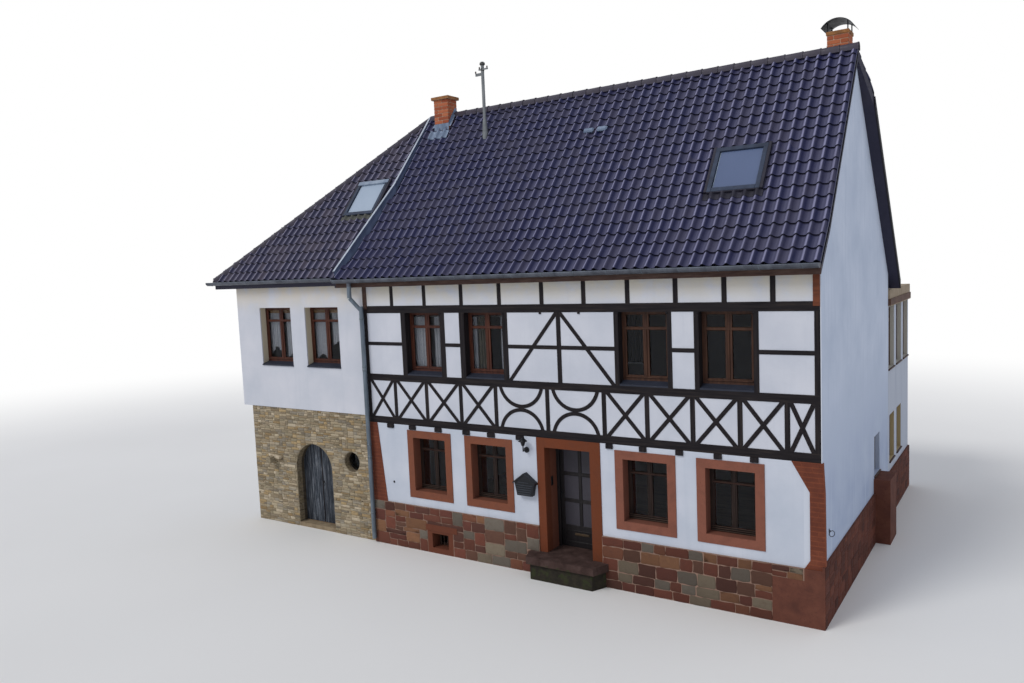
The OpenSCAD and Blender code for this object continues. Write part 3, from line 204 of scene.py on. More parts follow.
def plaster(name, light, dark, stain=None, stain_z=None, streak=0.5, low=None, low_z=None, inner=None,
            inner_y=None):
    """Render with clouds and runs. A stain shows between two heights, the tone low comes in downwards
    between two others, and inner colours the faces between two depths, such as window reveals, but
    not the wall's left end."""
    p = matte(name, 0.92)
    cloud = p.noise(0.9, 4)
    streaks = p.noise(1.0, 4, vec=p.vec((7, 7, 0.45)))
    if low:
        down = p.span(p.times(p.axis(2), -1.0), -low_z[1], -low_z[0])
        light = p.mix(down, light, low)
    col = p.mix(p.ramp(cloud, (0.35, 0.0), (0.7, 1.0)), light, dark)
    col = p.mix(p.patch(streaks, 0.5, 0.75, streak), col, dark)
    if stain:
        low_end, high_end = stain_z
        up = p.times(p.span(p.axis(2), low_end, high_end), p.span(p.noise(2.2, 4), 0.25, 0.6))
        col = p.mix(up, col, stain)
    if inner:
        depth = p.axis(1)
        there = p.times(p.calc("GREATER_THAN", depth, inner_y[0]),
                       p.calc("LESS_THAN", depth, inner_y[1]))
        there = p.times(there, p.above(0, -3.9))
        inner = inner(p) if callable(inner) else inner
        col = p.mix(there, col, inner)
    p.color(col)
    return p.bump((p.noise(5, 3), 0.006), (p.noise(55, 4), 0.002)).mat


def extension_plaster():
    """Render of the extension: beige in the reveals of its lower windows, pale in the upper ones."""
    p = matte("extension_plaster", 0.92)
    col = p.mix(p.span(p.noise(1.0, 4, vec=p.vec((7, 7, 0.45))), 0.45, 0.75), "bbc2ce", "abb3c2")
    reveal = p.mix(p.above(2, 3.2), "b8a67e", "c0bdb2")
    there = p.times(p.above(0, 9.75), p.below(0, 9.997))
    p.color(p.mix(p.times(there, p.below(1, 9.815)), col, reveal))
    return p.bump((p.noise(5, 3), 0.006), (p.noise(55, 4), 0.002)).mat


def masonry_paint(name, main, dark, light, lines=False):
    p = matte(name, 0.85)
    fac = p.noise(3.5, 5, warp=0.4)
    col = p.ramp(fac, (0.3, dark), (0.52, main), (0.78, light))
    col = p.mix(p.span(p.noise(26, 4), 0.55, 0.75), col, dark)
    p.color(p.mix(p.times(p.tint(), 0.5) if lines else 0.0, col, dark))
    return p.bump((p.noise(14, 5), 0.006), (p.noise(70, 3), 0.0015)).mat


def timber(name, dark, main, light, along, rough=0.72, depth=0.0015, gloss=0.2):
    """Wood with its grain along axis 0, 1 or 2."""
    p = Paint(name, rough=rough, Specular_IOR_Level=gloss)
    stretch = [22.0, 22.0, 22.0]
    stretch[along] = 1.3
    grain = p.noise(1.0, 5, 0.62, vec=p.vec(tuple(stretch)), warp=0.25)
    col = p.ramp(grain, (0.28, dark), (0.5, main), (0.8, light))
    col = p.mix(p.span(p.noise(2.3, 3), 0.5, 0.8), col, main)
    p.color(col)
    p.rough(p.ramp(grain, (0.2, rough + 0.12), (0.8, rough - 0.12)))
    return p.bump((grain, depth), (p.noise(9, 2), 0.002)).mat


def stone(name, tones, dirt_and_shade, rough=0.88, grain=60, tops=0.35):
    """Stones whose tone comes from each piece's own tint."""
    p = matte(name, rough)
    sharp = len(tones) > 4
    col = p.ramp(p.tint(0), *(((i if sharp else i + 0.5) / len(tones), t) for i, t in enumerate(tones)))
    if sharp:
        col.node.color_ramp.interpolation = "CONSTANT"
    # The tint's second part darkens a piece: random dullness on most stones, painted shadow on the block under
    # the side house's ledge
    col = p.mix(p.times(p.tint(1), 0.55), col, dirt_and_shade, "MULTIPLY")
    blot = p.noise(9, 5, 0.6, warp=0.5)
    col = p.mix(p.patch(blot, 0.45, 0.75, tops), col, dirt_and_shade)
    p.color(p.mix(p.patch(p.noise(grain, 3), 0.5, 0.8, 0.25), col, "20181a"))
    return p.bump((p.noise(16, 5), 0.008), (p.noise(grain, 3), 0.002)).mat


def metal(name, light, dark, rough=0.45, metallic=0.55):
    p = Paint(name, rough=rough, metal=metallic)
    fac = p.noise(1.0, 4, vec=p.vec((5, 5, 1.2)), warp=0.6)
    p.color(p.ramp(fac, (0.3, dark), (0.7, light)))
    p.rough(p.ramp(p.noise(7, 3), (0.3, rough - 0.1), (0.75, rough + 0.15)))
    return p.bump((p.noise(30, 2), 0.0006)).mat


def tile_glaze(name, flank, pan, roll, worn, rough=0.45, coat=0.08):
    """Glazed pantiles. The third part of the tint is 0 on the roll's flank, which is painted shade, 0.5 in the
    pan and
    1 on the crest, which is a painted highlight."""
    p = Paint(name, rough=rough, Coat_Weight=coat, Coat_Roughness=0.25, Specular_IOR_Level=0.3)
    # Ramp from the flank's painted shade through the pan to the painted highlight on the crest
    col = p.ramp(p.tint(2), (0.05, flank), (0.45, pan), (0.9, roll))
    tone = p.calc("ADD", p.times(p.tint(0), 0.7), p.times(p.noise(7, 3), 0.3))
    col = p.mix(p.patch(tone, 0.35, 0.95, 0.45), col, worn)
    col = p.mix(p.patch(p.noise(1.3, 5), 0.5, 0.8, 0.35), col, worn)
    # Painted shade: the tint's second part darkens the strip under each lap and the noses towards black
    p.color(p.mix(p.times(p.tint(1), 0.85), col, "08080c"))
    p.rough(p.ramp(p.noise(18, 3), (0.3, rough - 0.06), (0.7, rough + 0.16)))
    return p.bump((p.noise(25, 3), 0.0015)).mat


def brown_wood(p, grain):
    """Brown stain, duller to the right of the door."""
    left = p.ramp(grain, (0.28, "331913"), (0.5, "4b281d"), (0.8, "623a2a"))
    right = p.ramp(grain, (0.28, "2d1b15"), (0.5, "452c20"), (0.8, "5c3f2f"))
    return p.mix(p.span(p.axis(0), 4.0, 6.2), left, right)


def sand_tone(p, left, right, dark, depth=0.5):
    """Sawn sandstone, one tone left of the door and one right of it, darker in the reveals as painted shade."""
    col = p.mix(p.span(p.axis(0), 5.0, 6.2), left, right)
    col = p.mix(p.patch(p.noise(4.0, 5, warp=0.5), 0.42, 0.75, 0.5), col, dark)
    col = p.mix(p.patch(p.noise(45, 3), 0.5, 0.8, 0.2), col, "2c1712")
    # Painted shade: faces set back from the front go darker, up to the share given by depth
    return p.mix(p.patch(p.axis(1), 0.0, 0.06, depth), col, dark)


def sandstone(name, left, right, dark):
    p = matte(name, 0.82)
    cellar = p.times(p.below(2, 0.75), p.below(0, 3.0))
    cellar = p.times(cellar, 0.7)
    p.color(p.mix(cellar, sand_tone(p, left, right, dark), "5c3020"))
    return p.bump((p.noise(12, 4), 0.004), (p.noise(80, 3), 0.001)).mat


SAND = ("7f4c38", "865444", "6a4438")


def sand_reveal(p):
    return sand_tone(p, *SAND)


def upright_grain(p):
    return p.noise(1.0, 5, 0.62, vec=p.vec((22, 22, 1.6)), warp=0.25)


def window_stain():
    p = matte("window_brown", 0.5)
    grain = upright_grain(p)
    p.color(brown_wood(p, grain))
    return p.bump((grain, 0.0008)).mat


MAT = dict(
    front_plaster=plaster("front_plaster", "d2d5de", "c2c7d2", "d6d0c1", (5.35, 5.95), 0.4),
    lower_plaster=plaster("lower_plaster", "ced3de", "bdc5d2", inner=sand_reveal,
        inner_y=(0.03, 0.553)),
    side_plaster=plaster("side_plaster", "d3d5dd", "c3c8d2", "d8cfbe", (5.2, 6.1), 0.3, inner="c6bca6",
        inner_y=(0.004, 0.2)),
    # Gable render: a bluer grey than the front, partly its own paint and partly painted shade, turning darker
    # and bluer towards its foot as painted shade
    gable_plaster=plaster("gable_plaster", "cdd7e8", "bdc9dc", streak=0.8, low="a5b3cd",
        low_z=(1.2, 4.6), inner="cbd1dc", inner_y=(-0.05, 0.003)),
    rear_plaster=plaster("rear_plaster", "ccd1da", "bcc3ce"),
    extension_plaster=extension_plaster(),
    timber_x=timber("timber_rails", "100e12", "1f1b1e", "352d29", 0),
    timber_z=timber("timber_posts", "100e12", "1f1b1e", "352d29", 2),
    timber_d=timber("timber_braces", "100e12", "1f1b1e", "332c2b", 1),
    board_brown=timber("board_brown", "371a12", "4e271b", "663625", 0, 0.6),
    window_brown=window_stain(),
    window_dark=timber("window_dark", "1a1412", "2a1f1b", "40302a", 2, 0.5, 0.0008),
    rail_red=timber("window_rail_red", "2c211d", "40322b", "54443b", 0, 0.5, 0.0008),
    transom_red=timber("window_transom_red", "2e1d18", "3d2720", "4d342b", 0, 0.5, 0.0008),
    door_wood=timber("door_wood", "121012", "1c191b", "2c2829", 2, 0.45, 0.001, 0.35),
    floor_wood=timber("floor_wood", "7c6247", "a07f5b", "bd9c74", 0, 0.6),
    mortar=plaster("mortar", "94796a", "7d6456", streak=0.2),
    side_mortar=plaster("side_mortar", "9b8c72", "83745b", streak=0.2),
    plinth_stone=stone("plinth_stone", ["6f4437", "7a493b", "6c4137", "845642", "5f3e35", "8e664b",
        "776f64", "867a68", "79483a", "684a3d"], "4a342d", tops=0.25),
    side_stone=stone("side_stone", ["b3a48a", "a8997f", "baac92", "a2977f", "9c9485", "b39c76",
        "c3b59d", "ada28d"], "80715a", tops=0.5),
    painted_stone=stone("painted_stone", ["6a3a2c", "73402f", "60352a"], "4a2a22", 0.85),
    brick=stone("brick", ["b0623f", "bd714e", "a5583d", "b86a49"], "8d5540", 0.85),
    brick_mortar=plaster("brick_mortar", "bfa48f", "a88d78", streak=0.2),
    pilaster=masonry_paint("pilaster_paint", "7a422d", "6a3927", "8b5039"),
    pilaster_brick=masonry_paint("pilaster_brick", "6e3b2a", "5d3125", "804934", True),
    corner_block=masonry_paint("corner_block", "643c30", "55332a", "724839"),
    surround=sandstone("window_sandstone", *SAND),
    door_stone=sandstone("door_sandstone", "703a22", "6b3820", "643a29"),
    glaze=tile_glaze("glazed_tiles", "171b44", "393a58", "8787a6", "464354"),
    side_glaze=tile_glaze("side_tiles", "1e1f3c", "4b4b63", "a19cb2", "5c545e"),
    ridge=tile_glaze("ridge_tiles", "2b2a3c", "3b3947", "554f59", "433e46", 0.5, 0.05),
    zinc=metal("zinc", "7b868f", "525c65", 0.45),
    zinc_light=metal("zinc_light", "aab5c2", "848f9f", 0.4, 0.3),
    zinc_pale=metal("zinc_pale", "c3cbd6", "a2adbb", 0.45, 0.15),
    zinc_blue=metal("zinc_blue", "8494aa", "63738b", 0.5, 0.25),
    zinc_shade_paint=metal("zinc_shade_paint", "4c5a76", "36425b", 0.5, 0.25),
    lead=metal("lead", "7d8790", "59626b", 0.55, 0.3),
    light_frame=metal("roof_window_frame", "38445a", "272f40", 0.4, 0.4),
    hood=metal("roof_window_hood", "9aa8b8", "76859a", 0.4, 0.3),
    iron=metal("black_iron", "1f2024", "121317", 0.45, 0.4),
    letterbox=metal("letterbox_sheet", "1c1f25", "121419", 0.45, 0.2),
    rib_sheet=metal("rib_sheet", "383e48", "2a3039", 0.45, 0.2),
    steel=metal("galvanised_steel", "8d9192", "6c7073", 0.45, 0.5),
    steel_dark=metal("dark_steel", "5f5f5c", "474846", 0.5, 0.4),
    brass_dull=metal("dull_brass", "574632", "3e3226", 0.5, 0.3),
)


def special_materials():
    # Window glass, dark from outside
    p = Paint("window_glass", rough=0.04, Alpha=0.22, Specular_IOR_Level=0.6)
    p.color(p.mix(p.noise(0.6, 2), "0c0f14", "161b22"))
    MAT["glass"] = p.bump((p.noise(1.1, 2), 0.004)).mat
    # Sills and sashes of the upper windows share a node
    p = matte("upper_window_wood", 0.5)
    grain = upright_grain(p)
    wood = brown_wood(p, grain)
    front_sill = p.below(2, 4.0455)
    side_sill = p.times(p.below(2, 4.1315), p.below(0, 0.0))
    sill = p.mix(p.noise(6, 3), "242833", "353a48")
    p.color(p.mix(p.calc("MAXIMUM", front_sill, side_sill), wood, sill))
    MAT["upper_wood"] = p.bump((grain, 0.0008)).mat
    # Door step: dark slab on a darker base, partly moss and partly painted shade under the slab, pale threshold
    # at the arched doors
    p = matte("step_stone", 0.9)
    col = p.ramp(p.noise(5, 5, warp=0.4), (0.3, "32231f"), (0.55, "453430"), (0.8, "574541"))
    # Base below the slab: darker, partly moss and partly painted shade
    foot = p.ramp(p.noise(6, 5, warp=0.4), (0.3, "231f1b"), (0.55, "2f2b23"), (0.8, "3d3829"))
    col = p.mix(p.below(2, 0.3255), col, foot)
    moss = p.times(p.span(p.noise(7, 5), 0.5, 0.66), p.below(2, 0.36))
    col = p.mix(p.times(moss, 0.7), col, "333a1f")
    pale = p.ramp(p.noise(6, 4), (0.3, "7c6c57"), (0.7, "998970"))
    p.color(p.mix(p.below(0, 0.0), col, pale))
    MAT["step"] = p.bump((p.noise(12, 5), 0.008), (p.noise(60, 3), 0.002)).mat
    # Weathered planks, blue black with worn light fibres
    p = matte("weathered_planks", 0.8)
    grain = p.noise(1.0, 6, 0.72, vec=p.vec((34, 34, 2.2)), warp=0.5)
    col = p.ramp(grain, (0.3, "16191f"), (0.46, "2d323b"), (0.57, "596069"), (0.72, "a2a6ab"))
    worn = p.patch(p.noise(1.0, 5, vec=p.vec((16, 16, 1.1))), 0.52, 0.68, 0.5)
    col = p.mix(worn, col, "84888f")
    p.color(p.mix(p.times(p.tint(0), 0.45), col, "14161c"))
    MAT["planks"] = p.bump((grain, 0.004)).mat
    # Eaves board, end boards and barge board share a node
    p = matte("trim_paint", 0.6)
    grain = p.noise(1.0, 5, 0.6, vec=p.vec((3, 20, 20)), warp=0.25)
    brown = p.ramp(grain, (0.3, "37241e"), (0.5, "4b3730"), (0.8, "624d44"))
    end = p.ramp(grain, (0.3, "59301f"), (0.5, "6e3b25"), (0.8, "824a30"))
    there = p.times(p.below(2, 5.934), p.above(0, 5.0))
    brown = p.mix(there, brown, end)
    p.color(p.mix(p.above(0, 10.1), brown, "1d1b20"))
    MAT["trim"] = p.bump((grain, 0.001)).mat
    # Edge of the flat roof: brown band and pale edge
    p = matte("roof_edge", 0.65)
    band = p.ramp(p.noise(3, 4), (0.3, "4f382b"), (0.7, "66493a"))
    edge = p.ramp(p.noise(4, 4), (0.3, "8a7960"), (0.7, "a0907a"))
    low_lip = p.times(p.above(2, 4.97), p.below(2, 5.0))
    p.color(p.mix(p.calc("MAXIMUM", low_lip, p.above(2, 5.15)), band, edge))
    MAT["roof_edge"] = p.bump((p.noise(20, 3), 0.002)).mat
    # Gutters darker than the downpipe, in one node
    p = Paint("gutters_and_pipe", rough=0.45, metal=0.5)
    flow = p.noise(1.0, 4, vec=p.vec((5, 5, 1.2)), warp=0.6)
    pipe = p.ramp(flow, (0.3, "525d68"), (0.7, "7c8893"))
    dark = p.ramp(flow, (0.3, "454952"), (0.7, "676c76"))
    p.color(p.mix(p.above(2, 5.96), pipe, dark))
    MAT["pipes"] = p.bump((p.noise(30, 2), 0.0006)).mat
    # Coursed stone drawn on the reveals, where no separate stones lie, and painted shade deep in the reveal
    # behind it
    p = matte("reveal_stone", 0.9)
    cell = p.cells(9, p.vec((0.6, 0.6, 1.7)), output="Color")
    edge = p.cells(9, p.vec((0.6, 0.6, 1.7)), "DISTANCE_TO_EDGE")
    col = p.mix(p.ramp(p.times(cell, 1.0), (0.0, 0.0), (1.0, 1.0)), "948569", "7d7364")
    col = p.mix(p.span(edge, 0.0, 0.05), "6e624c", col)
    col = p.mix(p.patch(p.noise(7, 4), 0.4, 0.7, 0.5), col, "665a45")
    # Painted shade deep in the reveal, towards the door
    deep_reveal_shade = p.times(p.span(p.axis(1), 0.15, 0.165), p.above(0, -3.0))
    col = p.mix(p.times(deep_reveal_shade, 0.75), col, "302a24")
    # Bed of the outer face between the laid stones
    p.color(p.mix(p.below(1, 0.004), col, "968a74"))
    MAT["reveal_stone"] = p.bump((p.span(edge, 0.0, 0.08), 0.012), (p.noise(40, 4), 0.003)).mat
    # Roof window panes, the side one with its blind showing through and the main one with a painted sky
    # reflection, cloth, and small parts
    for name, noise, light, dark, bump, sockets in (
            ("blind", (1.6, 3), "aab9ca", "98a8bb", (90, 0.0005), {"rough": 0.4, "Specular_IOR_Level": 0.3}),
            ("painted_sky_reflection", (1.2, 3), "5a6a8c", "4a5a7c", (90, 0.0003), {"rough": 0.35}),
            ("lamp_glass", (8, 2), "aab4c0", "8a95a3", None, {"rough": 0.15, "Alpha": 0.6}),
            ("insulator", (9, 2), "3a2e2a", "4b3a34", None, {"rough": 0.3})):
        p = Paint(name, **sockets)
        p.color(p.mix(p.noise(*noise), light, dark))
        MAT[name] = p.bump((p.noise(bump[0], 2), bump[1])).mat if bump else p.mat
    p = Paint("curtain", rough=0.9)
    cloth = p.mix(p.noise(1.0, 3, vec=p.vec((40, 1, 1))), "f2f4f8", "c3cad5")
    p.color(p.mix(p.patch(p.cells(70), 0.35, 0.6, 0.35), cloth, "7d8794"))
    MAT["curtain"] = p.bump((p.noise(260, 2), 0.0006)).mat
    p = Paint("curtain_olive", rough=0.9)
    p.color(p.mix(p.noise(1.0, 3, vec=p.vec((30, 1, 1))), "6d6a5c", "4e4b40"))
    MAT["curtain_olive"] = p.bump((p.noise(260, 2), 0.0006)).mat
    p = Paint("door_pane", rough=0.3, Specular_IOR_Level=0.3)
    p.color(p.mix(p.noise(2.0, 3), "3a383e", "494750"))
    MAT["door_pane"] = p.bump((p.cells(160), 0.0015)).mat
    p = Paint("slab_stone", rough=0.85)
    p.color(p.ramp(p.noise(7, 4), (0.3, "6d4a2c"), (0.55, "946337"), (0.8, "a87a4a")))
    MAT["slab"] = p.bump((p.noise(20, 4), 0.004)).mat
    for key, tones in (("apron", ("484a47", "565751", "67685f")),
                       ("apron_dark", ("25242e", "302f3c", "454150"))):
        p = Paint(key + "_sheet", rough=0.6, metal=0.15, Specular_IOR_Level=0.3)
        p.color(p.ramp(p.noise(6, 4), *zip((0.3, 0.6, 0.8), tones)))
        MAT[key] = p.bump((p.noise(14, 3), 0.004)).mat


special_materials()

LOOKS = {
    "front_plinth": "mortar", "front_wall_left": "lower_plaster", "front_wall_right": "lower_plaster",
    "door_head_wall": "lower_plaster", "door_surround": "door_stone", "door_step": "step",
    "front_door": "door_wood", "window_surrounds": "surround", "lower_windows": "window_dark",
    "upper_windows": "upper_wood", "window_glass": "glass", "corner_pilasters": "pilaster",
    "frame_rails": "timber_x", "frame_posts": "timber_z", "joist_ends": "timber_z",
    "parapet_braces": "timber_d", "long_braces": "timber_d", "infill_panels": "front_plaster",
    "trim_boards": "trim", "gable_wall": "gable_plaster", "gable_plinth": "corner_block",
    "party_wall": "rear_plaster", "rear_wall": "rear_plaster", "floors": "floor_wood",
    "roof_front": "ridge", "roof_rear": "ridge", "side_roof": "ridge", "ridge_caps": "ridge",
    "roof_flashing": "zinc_light", "roof_windows": "light_frame", "chimneys": "brick_mortar",
    "chimney_cap": "iron", "service_mast": "steel", "rainwater_pipes": "pipes",
    "side_stone_front": "reveal_stone", "side_arch_head": "reveal_stone",
    "side_upper_wall": "side_plaster", "side_back_walls": "rear_plaster", "arch_door_left": "planks",
    "arch_door_right": "planks", "extension_walls": "extension_plaster", "extension_roof": "roof_edge",
    "extension_windows": "window_brown", "letter_box": "letterbox", "wall_lamp": "iron",
}
for name, look in LOOKS.items():
    slots = nodes[name].material_slots
    if not slots:
        nodes[name].data.materials.append(MAT[look])
    for s in slots:
        s.material = MAT[look]


# Mesh building
def add_object(name, data):
    ob = bpy.data.objects.new(name, data)
    bpy.context.scene.collection.objects.link(ob)
    return ob


def grid(rows, n, closed=False):
    """Faces between rows of n points each, all the way round if closed."""
    return [(j * n + k, j * n + (k + 1) % n, (j + 1) * n + (k + 1) % n, (j + 1) * n + k)
            for j in range(rows - 1) for k in range(n if closed else n - 1)]


class Bag:
    """Collects faces in millimetres, each vertex with a tint."""

    def __init__(self):
        self.v, self.f, self.t = [], [], []

    def add(self, verts, faces, tint=(0.5, 0.0), shades=None):
        n = len(self.v)
        self.v += [tuple(p) for p in verts]
        self.t += [tint + (c,) for c in shades or [0.0] * len(verts)]
        self.f += [tuple(i + n for i in face) for face in faces]

    def make(self, name, look, body="house", smooth=False, slot=None, clips=(), replaces=(), holes=()):
        me = bpy.data.meshes.new(name)
        me.from_pydata([(x / 1000, y / 1000, z / 1000) for x, y, z in self.v], [], self.f)
        col = me.attributes.new("tint", "FLOAT_COLOR", "POINT")
        col.data.foreach_set("color", [c for t in self.t for c in t + (1.0,)])
        if clips or holes:
            bm = bmesh.new()
            bm.from_mesh(me)
            for point, normal in clips:
                cut_away(bm, point, normal)
            for planes in holes:
                for point, normal in planes:
                    cut_away(bm, point, normal, clear=False)
                inside = [f for f in bm.faces if all(
                    (f.calc_center_median() - metres(p)).dot(Vector(n)) < 0 for p, n in planes)]
                bmesh.ops.delete(bm, geom=inside, context="FACES")
            bm.to_mesh(me)
            bm.free()
        me.materials.append(MAT[look])
        if smooth:
            me.polygons.foreach_set("use_smooth", [True] * len(me.polygons))
        me.update()
        ob = add_object(name, me)
        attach(ob, body)
        if replaces:
            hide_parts(*replaces)
        return ob


def metres(p):
    return Vector(p) / 1000


def cut_away(bm, point, normal, clear=True):
    """Cuts along a plane and removes what lies on the side that normal points to."""
    bmesh.ops.bisect_plane(bm, geom=bm.verts[:] + bm.edges[:] + bm.faces[:], plane_co=metres(point),
                           plane_no=Vector(normal), clear_outer=clear, clear_inner=False)


def block(bag, x, y, z, w, d, h, tint=(0.5, 0.0), chamfer=0.0):
    """Box with its lowest corner at x, y, z, its edges cut by chamfer."""
    frame_block(bag, lambda a, b, c: (a, b, c), (x, x + w), (y, y + d), (z, z + h), tint, chamfer)


def frame_block(bag, place, xs, ys, zs, tint=(0.5, 0.0), c=0.0):
    if c <= 0:
        pts = [place(x, y, z) for z in zs for y in ys for x in xs]
        bag.add(pts, [(0, 2, 3, 1), (4, 5, 7, 6), (0, 1, 5, 4), (2, 6, 7, 3), (0, 4, 6, 2), (1, 3, 7, 5)],
                tint)
        return
    x0, x1 = xs
    y0, y1 = ys
    z0, z1 = zs
    lo = [(x0 + c, y0 + c), (x1 - c, y0 + c), (x1 - c, y1 - c), (x0 + c, y1 - c)]
    mid = [(x0 + c, y0), (x1 - c, y0), (x1, y0 + c), (x1, y1 - c), (x1 - c, y1), (x0 + c, y1),
           (x0, y1 - c), (x0, y0 + c)]
    pts = [place(a, b, z0) for a, b in lo] + [place(a, b, z0 + c) for a, b in mid]
    pts += [place(a, b, z1 - c) for a, b in mid] + [place(a, b, z1) for a, b in lo]
    faces = [(3, 2, 1, 0), (20, 21, 22, 23)]
    for i in range(8):
        faces.append((4 + i, 4 + (i + 1) % 8, 12 + (i + 1) % 8, 12 + i))
    for i in range(4):
        a, b, j = i, (i + 1) % 4, 2 * i
        faces.append((a, b, 4 + j + 1, 4 + j))
        faces.append((a, 4 + j, 4 + (j + 7) % 8))
        faces.append((20 + a, 12 + j, 12 + j + 1, 20 + b))
        faces.append((20 + a, 12 + (j + 7) % 8, 12 + j))
    bag.add(pts, faces, tint)


def front(y):
    """Plane that looks to the front: a runs to the right and b up."""
    return lambda a, b, d: (a, y - d, b)


def gable(x):
    return lambda a, b, d: (x + d, a, b)


def left_end(x):
    return lambda a, b, d: (x - d, -a, b)


def back(y):
    return lambda a, b, d: (-a, y + d, b)


def tube(bag, points, r, sides=10, tint=(0.5, 0.0), caps=True):
    """Round bar through points; r is one radius or one for each point."""
    pts = [Vector(p) for p in points]
    rs = list(r) if hasattr(r, "__len__") else [r] * len(pts)
    ref = Vector((0.0, 0.0, 1.0))
    d0 = (pts[1] - pts[0]).normalized()
    side = d0.cross(ref) if abs(d0.z) < 0.95 else d0.cross(Vector((1.0, 0.0, 0.0)))
    side.normalize()
    verts, faces = [], []
    for i, p in enumerate(pts):
        d = (pts[min(i + 1, len(pts) - 1)] - pts[max(i - 1, 0)]).normalized()
        side = (side - d * side.dot(d)).normalized()
        up = side.cross(d)
        for k in range(sides):
            a = 2 * pi * k / sides
            verts.append(p + (side * cos(a) + up * sin(a)) * rs[i])
    for i in range(len(pts) - 1):
        for k in range(sides):
            k2 = (k + 1) % sides
            faces.append((i * sides + k, (i + 1) * sides + k, (i + 1) * sides + k2, i * sides + k2))
    if caps:
        faces.append(tuple(range(sides)))
        faces.append(tuple((len(pts) - 1) * sides + k for k in reversed(range(sides))))
    bag.add(verts, faces, tint)


# Roof tiles
PROFILE = [(-0.05, 24), (0.0, 33), (0.05, 45), (0.10, 54), (0.16, 58), (0.22, 56), (0.28, 47), (0.35, 31),
           (0.42, 16), (0.52, 5), (0.68, 0), (0.84, 3), (1.0, 13)]
# Painted light across each tile at the profile's points: 1 is painted highlight, 0 is painted shade
TILE_SHADE_AND_HIGHLIGHT = [0.55, 0.8, 1.0, 1.0, 0.8, 0.4, 0.1, 0.0, 0.05, 0.3, 0.5, 0.5, 0.5]
LIFT, LAP, TILE_T = 30.0, 45.0, 26.0
MAIN_COVER, SIDE_COVER = 208.0, 216.0
# How far up the main front slope the courses start
MAIN_LINES = [-22, 299, 598, 900, 1173, 1453, 1729, 2005, 2265, 2542, 2811, 3076, 3325, 3574, 3826, 4075,
              4320, 4560, 4800, 5040]
MAIN_EDGE, SIDE_EDGE = HOUSE_W + 40 - 0.45 * MAIN_COVER, -30.0


def even(rows, gauge=276.0, first=-22.0):
    return [first + i * gauge for i in range(rows + 1)]


def tile_field(bag, rng, at, cols, lines, cover):
    """Lays tiles on a slope. at(a, t) gives the point and the outward normal at a across the
    slope and t up it, cols the left edges of the columns as they are seen from outside, and
    lines the heights of the tiles' lower ends."""
    k = len(PROFILE)
    faces = grid(2, k)
    for t0, t3 in zip(lines, lines[1:]):
        t1, t2 = t3 - 30, t3 + LAP
        for a0 in cols:
            tone = rng.random()
            lift = LIFT + rng.uniform(-1.5, 2.5)
            skew = rng.uniform(-2.0, 2.0)
            low, mid, high, under = [], [], [], []
            for s, h in PROFILE:
                a = a0 + s * cover
                p, n = at(a, t0 + skew * (s - 0.5))
                q, m = at(a, t1)
                r, o = at(a, t2)
                low.append(p + n * (h + lift))
                mid.append(q + m * (h + 4 + (lift - 4) * (t2 - t1) / (t2 - t0)))
                high.append(r + o * (h + 4))
                under.append(p + n * (h + lift - TILE_T))
            # Visible face of the tile, with painted highlight and painted shade across it
            bag.add(low + mid, faces, (tone, 0.0), TILE_SHADE_AND_HIGHLIGHT * 2)
            # Strip under the next tile's lap, darker as painted shadow
            bag.add(mid + high, faces, (tone, 0.6), TILE_SHADE_AND_HIGHLIGHT + [0.0] * k)
            # Nose of the tile, painted near black as shade
            bag.add(under + low, faces, (tone, 1.0), [0.0] * (2 * k))


def tile_height(a, edge, cover):
    """How far the laid tiles stand out of the slope at a, with one column's left edge at edge."""
    s = ((a - edge) / cover) % 1.0
    best = 0.0
    for s1 in (s, s - 1.0):
        for (u0, h0), (u1, h1) in zip(PROFILE, PROFILE[1:]):
            if u0 <= s1 <= u1:
                best = max(best, h0 + (h1 - h0) * (s1 - u0) / (u1 - u0))
    return best + LIFT


def dressed(bag, at, edge, cover, a_range, ts, above, steps=56, tint=(0.5, 0.0)):
    """Sheet that follows the tiles below it, from a_range[0] to a_range[1] and through the heights ts."""
    verts = []
    for k, t in enumerate(ts):
        for i in range(steps + 1):
            a = a_range[0] + (a_range[1] - a_range[0]) * i / steps
            p, n = at(a, t)
            verts.append(p + n * (tile_height(a, edge, cover) + above[k]))
    bag.add(verts, grid(len(ts), steps + 1), tint)


def slope(origin, up, across, normal):
    """A flat slope: origin at its foot, unit vectors up the slope, across it and out of it."""
    o, u, c, n = (Vector(v) for v in (origin, up, across, normal))
    return lambda a, t: (o + c * a + u * t, n)


def rear_slope(y, z, pitch):
    """A slope that falls to the back: a runs to the left in x."""
    return slope((0, y, z), (0, -cos(pitch), sin(pitch)), (-1, 0, 0), (0, sin(pitch), cos(pitch)))


def main_front_at(a, t):
    if t < SPROCKET_RUN:
        pitch, y, z = SPROCKET_PITCH, EAVE_Y + t * cos(SPROCKET_PITCH), EAVE_TOP + t * sin(SPROCKET_PITCH)
    else:
        pitch, up = FRONT_PITCH, t - SPROCKET_RUN
        y, z = SPROCKET[0] + up * cos(pitch), SPROCKET[1] + up * sin(pitch)
    return Vector((a, y, z)), Vector((0, -sin(pitch), cos(pitch)))


def light_hole(light, w=481.0, h=531.0):
    """Planes round a roof window, pointing out of it."""
    c, u, a = (Vector(v) for v in light[:3])
    return [(c + a * w, a), (c - a * w, -a), (c + u * h, u), (c - u * h, -u)]


def light_place(x, y, z, pitch):
    """Centre of a roof window, and the unit vectors up the slope, across it and out of it."""
    return (x, y, z), (0, cos(pitch), sin(pitch)), (1, 0, 0), (0, -sin(pitch), cos(pitch))


MAIN_LIGHT = light_place(8290, 1280, roof_top(1280), FRONT_PITCH)
SIDE_LIGHT = light_place(-890, 1330, side_top(1330), SIDE_PITCH)


